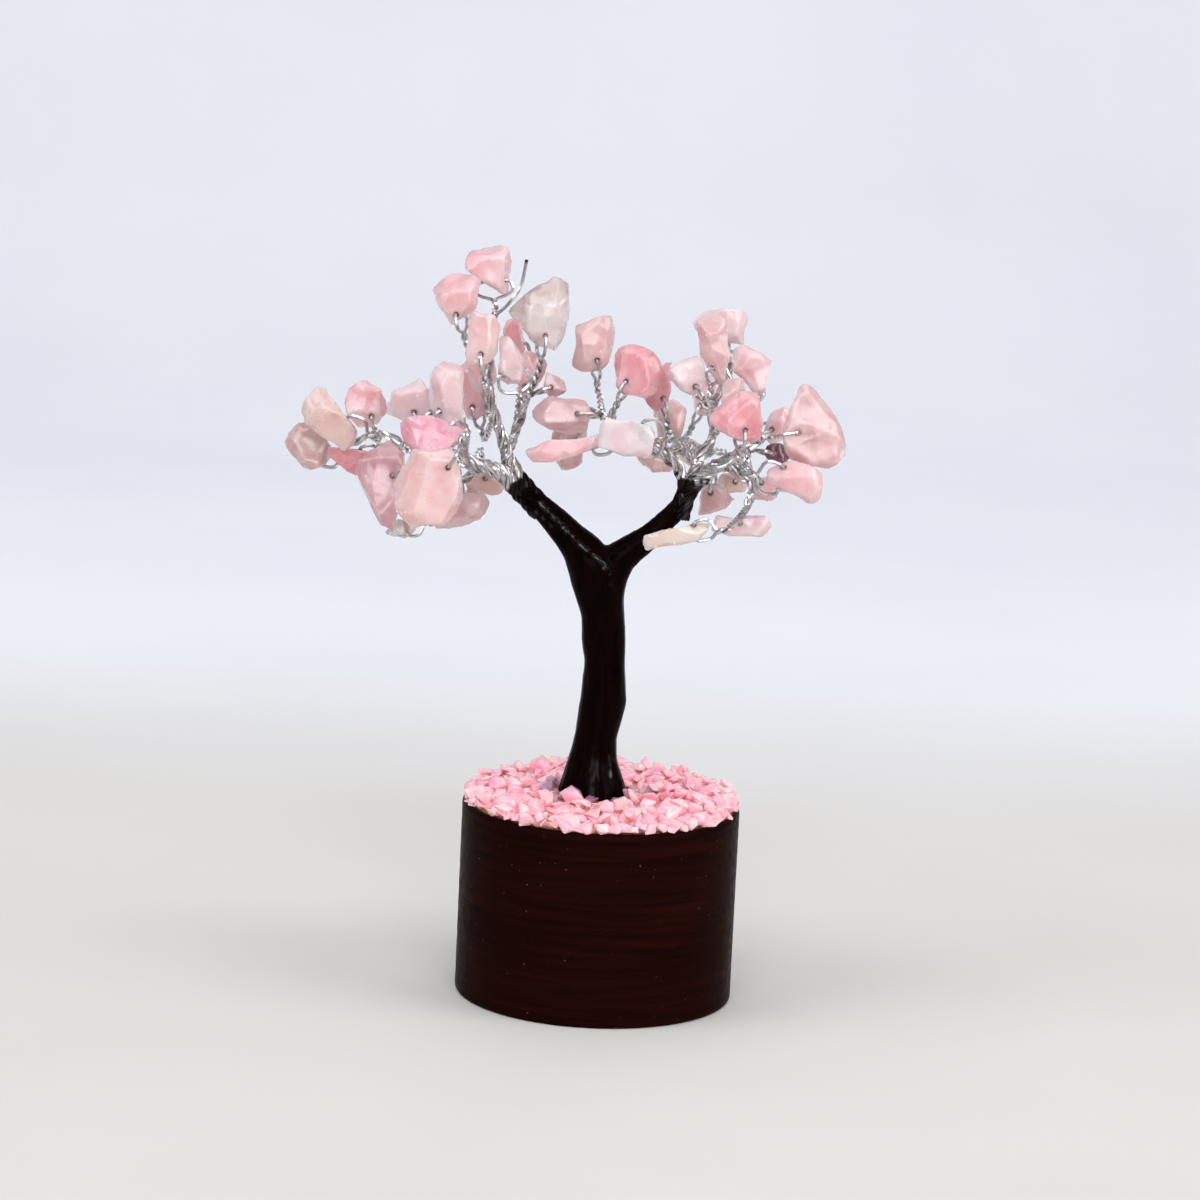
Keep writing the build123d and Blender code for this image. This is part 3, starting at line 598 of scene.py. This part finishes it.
def base_profile(radius, height):
    """Radius and height pairs from the middle of the underside up and over to the top."""
    corner = BASE_CORNER
    rim = [(corner * math.sin(a), corner * (1 - math.cos(a))) for a in (0, 0.4, 0.8, 1.2, math.pi / 2)]
    points = [(radius * share, 0) for share in UNDERSIDE_RINGS]
    points += [(radius - corner + out, up) for out, up in rim]
    count = int((height - 2 * corner) / BASE_RING)
    points += [(radius, corner + (height - 2 * corner) * k / count) for k in range(1, count)]
    points += [(radius - corner + out, height - up) for out, up in reversed(rim)]
    points += [(radius * share, height) for share in TOP_RINGS]
    return points


def base():
    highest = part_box("base_block")[1]
    radius, height = min(highest.x, highest.y) / MM, highest.z / MM
    bm = bmesh.new()
    rings = []
    for out, up in base_profile(radius, height):
        turns = [2 * math.pi * k / BASE_SEGMENTS for k in range(BASE_SEGMENTS)]
        rings.append([bm.verts.new((out * math.cos(turn), out * math.sin(turn), up)) for turn in turns])
    for lower, upper in zip(rings, rings[1:]):
        for k in range(BASE_SEGMENTS):
            after = (k + 1) % BASE_SEGMENTS
            bm.faces.new((lower[k], lower[after], upper[after], upper[k]))
    bm.faces.new(reversed(rings[0]))
    bm.faces.new(rings[-1])
    mesh = to_mesh(bm)

    def wear(at, normal):
        turned = LATHE_DEPTH * abs(noise.noise(Vector((0, 0, at.z * LATHE_RATE))))
        dent = DENT_DEPTH * max(0, noise.fractal(at * DENT_RATE, 1.0, 2.0, 3))
        return -(turned + dent) * fade(at.z, 0.0, BASE_CORNER)

    def paint(at):
        bare = radius - RIM_BARE + RIM_WANDER * noise.noise(at * RIM_RATE)
        inside = fade(bare - at.xy.length, -RIM_FADE, RIM_FADE)
        return 1 - inside * fade(at.z, height - RIM_TOP[0], height - RIM_TOP[1])

    displaced(mesh, wear)
    mark(mesh, "paint", paint)
    piece("painted_base", mesh, "tree", painted_wood(), "brown_lacquered_wood", "base_block")


# Bed of glue and small chips

def glue_bed():
    bm = node_mesh("glue_bed")
    mesh = remeshed(to_mesh(bm), GLUE_VOXEL, GLUE_ROUNDS)

    def wave(at, normal):
        return -GLUE_WAVE * abs(noise.noise(at * GLUE_RATE))

    displaced(mesh, wave)
    piece("glue_film", mesh, "tree", glue(), "clear_glue", "glue_bed")


def hull(points):
    bm = bmesh.new()
    for point in points:
        bm.verts.new(point)
    made = bmesh.ops.convex_hull(bm, input=bm.verts)
    inside = made["geom_interior"] + made["geom_unused"]
    spare = {item for item in inside if isinstance(item, bmesh.types.BMVert)}
    bmesh.ops.delete(bm, geom=list(spare), context="VERTS")
    return to_mesh(bm)


def pebble(rng):
    """One small angular stone, about 2 mm long before it is sized."""
    points = []
    for k in range(PEBBLE_CORNERS):
        way = Vector((rng.gauss(0, 1), rng.gauss(0, 1), rng.gauss(0, 1))).normalized()
        corner = Vector((way.x, way.y * PEBBLE_WIDTH, way.z * PEBBLE_THICKNESS))
        points.append(corner * rng.uniform(0.85, 1))
    worn = {"width": PEBBLE_EDGE, "segments": 2, "limit_method": "ANGLE"}
    return with_modifiers(hull(points), ("BEVEL", worn))


def bed_places(rng):
    """Places of the small chips: layer by layer, spread like seeds in a sunflower."""
    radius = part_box("base_block")[1].x / MM
    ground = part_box("glue_bed")[1].z / MM
    for count, level in BED_LAYERS:
        for k in range(count):
            size = rng.uniform(*PEBBLE_SIZE)
            ring = radius * math.sqrt((k + FIRST_SEED) / count)
            turn = k * GOLDEN_ANGLE + level
            at = Vector((ring * math.cos(turn), ring * math.sin(turn), ground + level - LAYER_SINK))
            at.z += rng.uniform(*LAYER_UNEVEN)
            from_foot = math.hypot(at.x - FOOT_X, at.y)
            if from_foot > FOOT_RADIUS + FOOT_OVERLAP * size:
                yield at, size, from_foot
    for k in range(RIM_CHIPS):
        turn = 2 * math.pi * (k + rng.uniform(-RIM_JITTER, RIM_JITTER)) / RIM_CHIPS
        ring = radius - rng.uniform(*RIM_INSET)
        at = Vector((ring * math.cos(turn), ring * math.sin(turn), ground + rng.uniform(*RIM_LEVEL)))
        yield at, rng.uniform(*PEBBLE_SIZE), ring


def bed_chips():
    rng = random.Random(BED_SEED)
    bed_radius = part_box("base_block")[1].x / MM - BED_MARGIN
    kinds = [pebble(rng) for k in range(PEBBLE_KINDS)]
    beds = {"pink": bmesh.new(), "mauve": bmesh.new()}
    tints = {colour: bm.verts.layers.float.new("tint") for colour, bm in beds.items()}
    for at, size, from_foot in bed_places(rng):
        colour = "mauve" if from_foot < MAUVE_REACH and rng.random() < MAUVE_SHARE else "pink"
        bm = beds[colour]
        known = len(bm.verts)
        bm.from_mesh(rng.choice(kinds))
        bm.verts.ensure_lookup_table()
        fresh = bm.verts[known:]
        tilt = math.radians(PEBBLE_TILT)
        turn = Matrix.Rotation(rng.uniform(0, 2 * math.pi), 4, "Z")
        lean = Matrix.Rotation(rng.uniform(-tilt, tilt), 4, "X")
        lean = lean @ Matrix.Rotation(rng.uniform(-tilt, tilt), 4, "Y")
        shape = Matrix.Diagonal((size, size * rng.uniform(0.8, 1.15), size * rng.uniform(0.85, 1.2), 1))
        bmesh.ops.transform(bm, matrix=Matrix.Translation(at) @ turn @ lean @ shape, verts=fresh)
        over = max(vertex.co.xy.length for vertex in fresh) - bed_radius
        if over > 0:
            bmesh.ops.translate(bm, vec=-over * Vector((at.x, at.y, 0)).normalized(), verts=fresh)
        tint = rng.random()
        for vertex in fresh:
            vertex[tints[colour]] = tint
    pink = bed_quartz("pink_bed_look", (244, 154, 174), (254, 186, 199), (255, 213, 219), 0.5)
    mauve = bed_quartz("mauve_bed_look", (112, 74, 100), (160, 114, 140), (204, 166, 186), 0.15)
    piece("bed_of_chips", to_mesh(beds["pink"]), "tree", pink, "rose_quartz", "base_chips")
    piece("bed_of_mauve_chips", to_mesh(beds["mauve"]), "tree", mauve, "mauve_quartz", "base_mauve_chips")


# Trunk

def from_line(at, line):
    """Distance, seen from the front, from a line of corners."""
    spot = Vector((at.x, at.z))
    nearest = math.inf
    for first, second in zip(line, line[1:]):
        first, second = Vector(first), Vector(second)
        share = geometry.intersect_point_line(spot, first, second)[1]
        on_line = first.lerp(second, min(1, max(0, share)))
        nearest = min(nearest, (spot - on_line).length)
    return nearest


def strand_ridge(at):
    """Twisted strands that show through the lacquer toward the end of a limb."""
    side = "left" if at.x < 0 else "right"
    tip, way = LIMB_TIPS[side], LIMB_WAYS[side]
    back = (tip - at).dot(way)
    round_limb = at - tip + way * back
    turn = math.atan2(round_limb.y, round_limb.dot(way.cross(Vector((0, 1, 0)))))
    wave = abs(math.cos(STRANDS * turn / 2 + math.pi * STRANDS * back / STRAND_PITCH))
    return STRAND_HEIGHT * (wave - 0.8) * (1 - fade(back, 0.4 * STRAND_LENGTH, STRAND_LENGTH))


def trunk_core():
    """The hidden bundle of core wires, stained by the lacquer."""
    mesh = frame["nodes"]["trunk_core"].data
    mesh.materials.clear()
    mesh.materials.append(trunk_coating("trunk_core_look"))


def trunk():
    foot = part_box("trunk_cover")[0].z / MM
    bm = node_mesh("trunk_cover", "trunk_core")
    cut = bmesh.ops.bisect_plane(bm, geom=bm.verts[:] + bm.edges[:] + bm.faces[:], plane_co=(0, 0, foot),
                                 plane_no=(0, 0, 1), clear_inner=True)
    bmesh.ops.holes_fill(bm, edges=[item for item in cut["geom_cut"] if isinstance(item, bmesh.types.BMEdge)])
    mesh = remeshed(to_mesh(bm), TRUNK_VOXEL, TRUNK_ROUNDS)

    def wear(at, normal):
        lump = TRUNK_LUMP * noise.noise(at * LUMP_RATE)
        stretched = Vector((at.x * STREAK_ACROSS, at.y * STREAK_ACROSS, at.z * STREAK_ALONG))
        streak = TRUNK_STREAK * noise.noise(stretched)
        seam = 0.0
        if normal.y < -0.2:
            ripple = 0.6 + 0.8 * noise.noise(at * 1.1)
            seam = SEAM_HEIGHT * ripple * (1 - fade(from_line(at, SEAM), 0.0, SEAM_WIDTH))
        return lump + streak + seam + strand_ridge(at)

    def gloss(at):
        if at.y > 0:
            return 0.0
        shine = max(share * (1 - fade(from_line(at, line) / width, 0.3, 1.0))
                    for line, width, share in SHEEN_LINES)
        ripple = noise.noise(Vector((at.x, at.y, at.z * 0.4)) * SHEEN_RIPPLE)
        return shine * fade(ripple, -0.35, 0.15)

    displaced(mesh, wear)
    mark(mesh, "gloss", gloss)
    look = trunk_coating("trunk_coating_look")
    piece("lacquered_trunk", mesh, "tree", look, "dark_brown_coating", "trunk_cover")


# Wires

def smooth_path(corners, step):
    """Points along a smooth line through the corners."""
    last = len(corners) - 1
    ways = [(corners[min(k + 1, last)] - corners[max(k - 1, 0)]).normalized() for k in range(last + 1)]
    points = []
    for k in range(last):
        length = (corners[k + 1] - corners[k]).length
        count = max(3, math.ceil(length / step) + 1)
        handles = (corners[k] + ways[k] * length / 3, corners[k + 1] - ways[k + 1] * length / 3)
        points += geometry.interpolate_bezier(corners[k], *handles, corners[k + 1], count)[:-1]
    return points + [corners[-1]]


def carried(points, first):
    """Two side directions at each point, carried along the path without spinning."""
    last = len(points) - 1
    frames = []
    side = first
    for k in range(last + 1):
        ahead = (points[min(k + 1, last)] - points[max(k - 1, 0)]).normalized()
        side = (side - ahead * side.dot(ahead)).normalized()
        frames.append((side, ahead.cross(side)))
    return frames


def lengths_along(points):
    total = 0.0
    lengths = [0.0]
    for first, second in zip(points, points[1:]):
        total += (second - first).length
        lengths.append(total)
    return lengths


def add_tube(bm, points, painted):
    """A round wire along the points; painted(point) is kept for the material."""
    layer = bm.verts.layers.float["paint"]
    rings = []
    start = (points[1] - points[0]).orthogonal().normalized()
    for point, (side, over) in zip(points, carried(points, start)):
        ring = []
        for k in range(WIRE_SIDES):
            turn = 2 * math.pi * k / WIRE_SIDES
            vertex = bm.verts.new(point + (side * math.cos(turn) + over * math.sin(turn)) * WIRE_RADIUS)
            vertex[layer] = painted(point)
            ring.append(vertex)
        rings.append(ring)
    for first, second in zip(rings, rings[1:]):
        for k in range(WIRE_SIDES):
            after = (k + 1) % WIRE_SIDES
            bm.faces.new((first[k], first[after], second[after], second[k]))
    bm.faces.new(reversed(rings[0]))
    bm.faces.new(rings[-1])


def side_of(branch):
    return branch.split("_")[0]


def run_corners(twig):
    """Corners of the bundle that carries a twig, from inside the limb to where the twig leaves."""
    side = side_of(twig.branch)
    tip, way = LIMB_TIPS[side], LIMB_WAYS[side]
    root = tip + Vector(BRANCH_ROOTS[twig.branch])
    runs = [tip + Vector(offset) for offset in MAIN_RUNS[twig.branch]]
    if twig.run == "main":
        return [root - way * LIMB_ROOT, root] + runs[:twig.point + 1], None
    fork = [tip + Vector(offset) for offset in SIDE_RUNS[twig.branch]]
    start = [root - way * LIMB_ROOT, root]
    if (fork[0] - runs[0]).length > WIRE_RADIUS:
        start.append(runs[0])
    return start + fork[:twig.point + 1], len(start)


def packed(place_in_bundle):
    """Radius and turn of a strand's place in a round bundle."""
    return BUNDLE_SPACING * math.sqrt(place_in_bundle + 0.5), place_in_bundle * GOLDEN_ANGLE


def offset(frame_pair, radius, turn):
    side, over = frame_pair
    return (side * math.cos(turn) + over * math.sin(turn)) * radius


def solid_of(chip):
    mesh = frame["nodes"][chip].data
    return BVHTree.FromPolygons([corner.co / MM for corner in mesh.vertices],
                                [face.vertices[:] for face in mesh.polygons])


def reach(solid, start, way):
    """How far the solid reaches past a point in a direction."""
    hit = solid.ray_cast(start + way * FAR_OUT, -way)[0]
    return (hit - start).dot(way) if hit else 0.0


def near_side(solid, hole, along, axis):
    """How far the chip reaches from its hole back toward the twig."""
    across = along.cross(axis)
    return max(reach(solid, hole + across * share, -along) for share in (-EYE_SIDE, 0.0, EYE_SIDE))


def hole_end(solid, hole, along, way, near):
    """How far the wire must stand off the hole's middle to clear the chip on one side."""
    backs = [near * k / (HOLE_PROBES - 2) - 2 * WIRE_RADIUS for k in range(HOLE_PROBES)]
    return max(reach(solid, hole - along * back, way) for back in backs) + EYE_STANDOFF


def twig_wire(chip, twig, main_place, side_place):
    """One wire: out along the bundle, up the twig, through the chip and back again."""
    hole = Vector(holes[chip]["pos_m"]) / MM
    axis = Vector(holes[chip]["axis"]).normalized()
    heading = math.radians(twig.heading)
    along = Vector((math.cos(heading), 0, math.sin(heading)))
    solid = solid_of(chip)
    near = near_side(solid, hole, along, axis)
    throat = hole - along * (near + EYE_GAP)
    corners, fork = run_corners(twig)
    points = smooth_path(corners + [throat - along * TWIG_LEAD, throat], WIRE_STEP)
    lengths = lengths_along(points)
    leave_at = lengths_along(smooth_path(corners, WIRE_STEP))[-1]
    fork_at = lengths_along(smooth_path(corners[:fork + 1], WIRE_STEP))[-1] if fork else None
    forward = carried(points, Vector((0, 1, 0)))
    backward = carried(points[::-1], axis)[::-1]
    strands = []
    for strand in (0, 1):
        line = []
        for k, point in enumerate(points):
            turn = 2 * math.pi * lengths[k] / BUNDLE_PITCH
            radius, start = packed(2 * main_place + strand)
            carried_by = offset(forward[k], radius, start + turn)
            if fork_at is not None:
                radius, start = packed(2 * side_place + strand)
                parted = fade(lengths[k], fork_at - PART_LENGTH / 2, fork_at + PART_LENGTH / 2)
                carried_by = carried_by.lerp(offset(forward[k], radius, start + turn), parted)
            twist = 2 * math.pi * (lengths[-1] - lengths[k]) / TWIST_PITCH + math.pi * strand
            alone = offset(backward[k], TWIST_RADIUS, -twist)
            share = fade(lengths[k], leave_at - PART_LENGTH / 2, leave_at + PART_LENGTH / 2)
            line.append(point + carried_by.lerp(alone, share))
        strands.append(line)
    shoulder = throat + along * (EYE_GAP - 2 * WIRE_RADIUS)
    legs = []
    for way in (axis, -axis):
        face = hole_end(solid, hole, along, way, near)
        bend = hole - along * EYE_BEND + way * face
        legs.append([shoulder + way * face, bend, hole + way * (face - EYE_BEND)])
    loop = smooth_path([strands[0][-1]] + legs[0] + [hole] + legs[1][::-1] + [strands[1][-1]], WIRE_STEP)
    return strands[0][:-1] + loop + strands[1][-2::-1]


def wires():
    look = silver_wire()
    for branch in MAIN_RUNS:
        bm = bmesh.new()
        bm.verts.layers.float.new("paint")
        side = side_of(branch)
        tip, way = LIMB_TIPS[side], LIMB_WAYS[side]

        def painted(point):
            beyond = (point - tip).dot(way)
            past = max(beyond, (point - tip - way * beyond).length - LIMB_REACH)
            ragged = past + PAINT_WANDER * noise.noise(point * PAINT_RATE)
            return 1 - fade(ragged, PAINT_REACH - PAINT_FADE, PAINT_REACH + PAINT_FADE)

        twigs = [(name, twig) for name, twig in TWIGS.items() if twig.branch == branch]
        outward = sorted(twigs, key=lambda item: (item[1].run == "side", -item[1].point))
        forked = [name for name, twig in outward if twig.run == "side"]
        for main_place, (name, twig) in enumerate(outward):
            side_place = forked.index(name) if name in forked else None
            add_tube(bm, twig_wire(name, twig, main_place, side_place), painted)
        if branch == "left_crown":
            tail = smooth_path([tip + Vector(offset) for offset in WIRE_TAIL], WIRE_STEP)
            end = tail[-1].z
            add_tube(bm, tail, lambda point: fade(point.z, end - TAIL_DARK[0], end - TAIL_DARK[1]))
        piece(branch + "_twists", to_mesh(bm), "tree", look, "silver_wire", branch + "_wires")


# Drilled chips

def drill(hole, axis):
    """A round rod along the hole, to be cut out of the chip."""
    bm = bmesh.new()
    bmesh.ops.create_cone(bm, cap_ends=True, segments=DRILL_SIDES, radius1=HOLE_RADIUS, radius2=HOLE_RADIUS,
                          depth=DRILL_LENGTH)
    aim = axis.to_track_quat("Z", "Y").to_matrix().to_4x4()
    bmesh.ops.transform(bm, matrix=Matrix.Translation(hole) @ aim, verts=bm.verts)
    tool = bpy.data.objects.new("drill", to_mesh(bm))
    scene.collection.objects.link(tool)
    return tool


def span(points, way):
    """Length of the points' reach in a direction."""
    reaches = [point.dot(way) for point in points]
    return max(reaches) - min(reaches)


def struck(points, facing, rng):
    """The chip's corners after flakes are struck off round its front and its back."""
    middle = sum(points, Vector()) / len(points)
    side = facing.orthogonal().normalized()
    over = facing.cross(side)
    for face in (facing, -facing):
        start = rng.uniform(0, 2 * math.pi)
        for k in range(FLAKES):
            turn = start + 2 * math.pi * (k + rng.uniform(-FLAKE_JITTER, FLAKE_JITTER)) / FLAKES
            lean = math.radians(rng.uniform(*FLAKE_LEAN))
            way = face * math.cos(lean) + (side * math.cos(turn) + over * math.sin(turn)) * math.sin(lean)
            depth = max((point - middle).dot(way) for point in points) * (1 - rng.uniform(*FLAKE_SHARE))
            bm = bmesh.new()
            bm.from_mesh(hull(points))
            bmesh.ops.bisect_plane(bm, geom=bm.verts[:] + bm.edges[:] + bm.faces[:],
                                   plane_co=middle + way * depth, plane_no=way, clear_outer=True)
            points = [vertex.co.copy() for vertex in bm.verts]
            bm.free()
    return points


def mark_edges(mesh):
    """Store how sharply the stone turns outward at each vertex; the material pales these edges as frosting
    and painted highlight.
    """
    bm = bmesh.new()
    bm.from_mesh(mesh)
    turns = []
    for vertex in bm.verts:
        steps = [(vertex.co - edge.other_vert(vertex).co) for edge in vertex.link_edges]
        turns.append(sum(step.normalized().dot(vertex.normal) for step in steps) / len(steps))
    bm.free()
    layer = mesh.attributes.new("edge", "FLOAT", "POINT")
    for item, turn in zip(layer.data, turns):
        item.value = fade(turn, *EDGE_CURVE)


def chip(name, look, slot):
    hole = Vector(holes[name]["pos_m"]) / MM
    axis = Vector(holes[name]["axis"]).normalized()
    corners = [corner.co / MM for corner in frame["nodes"][name].data.vertices]
    heading = math.radians(TWIGS[name].heading)
    along = Vector((math.cos(heading), 0, math.sin(heading)))
    facing = min((axis, along.cross(axis).normalized()), key=lambda way: span(corners, way))
    mesh = remeshed(hull(struck(corners, facing, random.Random(name))), STONE_VOXEL, STONE_ROUNDS)

    def wear(at, normal):
        lump = STONE_LUMP * (noise.noise(at * STONE_LUMP_RATE) - STONE_SINK)
        near = noise.voronoi(at * STONE_SCAR_RATE)[0][0]
        scar = -STONE_SCAR * max(0, STONE_SCAR_EDGE - near * near)
        return lump + scar + STONE_GRAIN * noise.fractal(at * STONE_GRAIN_RATE, 1.0, 2.0, 3)

    # Darkening round the drill hole: partly a rust stain, partly painted shade inside the hole.
    def stain_and_shade(at):
        return 1 - fade(((at - hole) - (at - hole).project(axis)).length, HOLE_RADIUS, HOLE_STAIN_AND_SHADE)

    displaced(mesh, wear)
    fitted(mesh, corners)
    mark_edges(mesh)
    tool = drill(hole, axis)
    cut = {"object": tool, "operation": "DIFFERENCE", "solver": "MANIFOLD"}
    mesh = with_modifiers(mesh, ("BOOLEAN", cut))
    bpy.data.objects.remove(tool)
    mark(mesh, "hole", stain_and_shade)
    piece(name + "_stone", mesh, name, look, slot, name)


def chips():
    looks = {tone: quartz(tone) for tone in TONES if tone != "clear"}
    looks["clear"] = quartz("clear", 0.35, 0.7, 0.75)
    for name, twig in TWIGS.items():
        chip(name, looks[twig.tone], TONE_SLOTS.get(twig.tone, "rose_quartz"))


# Stage, light and camera

def stage():
    """A floor that curves up into a backdrop, as rows from the front to the top."""
    sweep = [(back, 0) for back in (-FLOOR_REACH,) + FLOOR_ROWS] + BACKDROP_ROWS
    bm = bmesh.new()
    rows = [[bm.verts.new((x, back, up)) for x in (-FLOOR_REACH, FLOOR_REACH)] for back, up in sweep]
    for first, second in zip(rows, rows[1:]):
        bm.faces.new((first[0], first[1], second[1], second[0]))
    mesh = to_mesh(bm, "backdrop")
    mark(mesh, "wall", lambda at: fade(at.y, COOL_FROM, COOL_TO))
    mesh.transform(Matrix.Scale(MM, 4))
    mesh.shade_smooth()
    mesh.materials.append(plain_ground())
    made = bpy.data.objects.new("backdrop", mesh)
    scene.collection.objects.link(made)


def lamp(name, at, aim, size, power, spread=LAMP_SPREAD, colour=(1, 1, 1)):
    """A soft rectangular lamp, with its places and size in metres."""
    light = bpy.data.lights.new(name, "AREA")
    light.shape = "RECTANGLE"
    light.size, light.size_y = size
    light.spread = math.radians(spread)
    light.energy = power
    light.color = colour
    made = bpy.data.objects.new(name, light)
    made.location = at
    made.rotation_euler = (Vector(aim) - Vector(at)).to_track_quat("-Z", "Y").to_euler()
    scene.collection.objects.link(made)


def light():
    lamp("left_window", (-0.75, -0.35, 0.65), (0, 0, 0.07), (0.7, 0.7), 1.0)
    lamp("right_fill", (0.8, -0.3, 0.45), (0, 0, 0.07), (0.6, 0.6), 1.2,
         colour=(1.0, 0.96, 0.93))
    lamp("front", (0.05, -0.95, 0.55), (0, 0, 0.07), (0.8, 0.8), 2.1)
    lamp("top", (0.0, 0.1, 0.95), (0, 0, 0.05), (0.9, 0.9), 2.6, spread=180.0)
    world = bpy.data.worlds.new("soft_room")
    world.use_nodes = True
    background = world.node_tree.nodes["Background"]
    background.inputs["Color"].default_value = (0.9, 0.93, 1.0, 1.0)
    background.inputs["Strength"].default_value = 0.34
    scene.world = world


def camera():
    data = bpy.data.cameras.new("camera")
    data.lens = CAMERA_LENS
    data.sensor_width = 36.0
    made = bpy.data.objects.new("camera", data)
    made.location = Vector(CAMERA_PLACE) * MM
    look = (Vector(CAMERA_AIM) - Vector(CAMERA_PLACE)).to_track_quat("-Z", "Y")
    made.rotation_mode = "QUATERNION"
    made.rotation_quaternion = look @ Matrix.Rotation(math.radians(CAMERA_ROLL), 3, "Z").to_quaternion()
    scene.collection.objects.link(made)
    scene.camera = made


scene.view_settings.view_transform = "Standard"
base()
glue_bed()
bed_chips()
trunk_core()
trunk()
wires()
chips()
stage()
light()
camera()
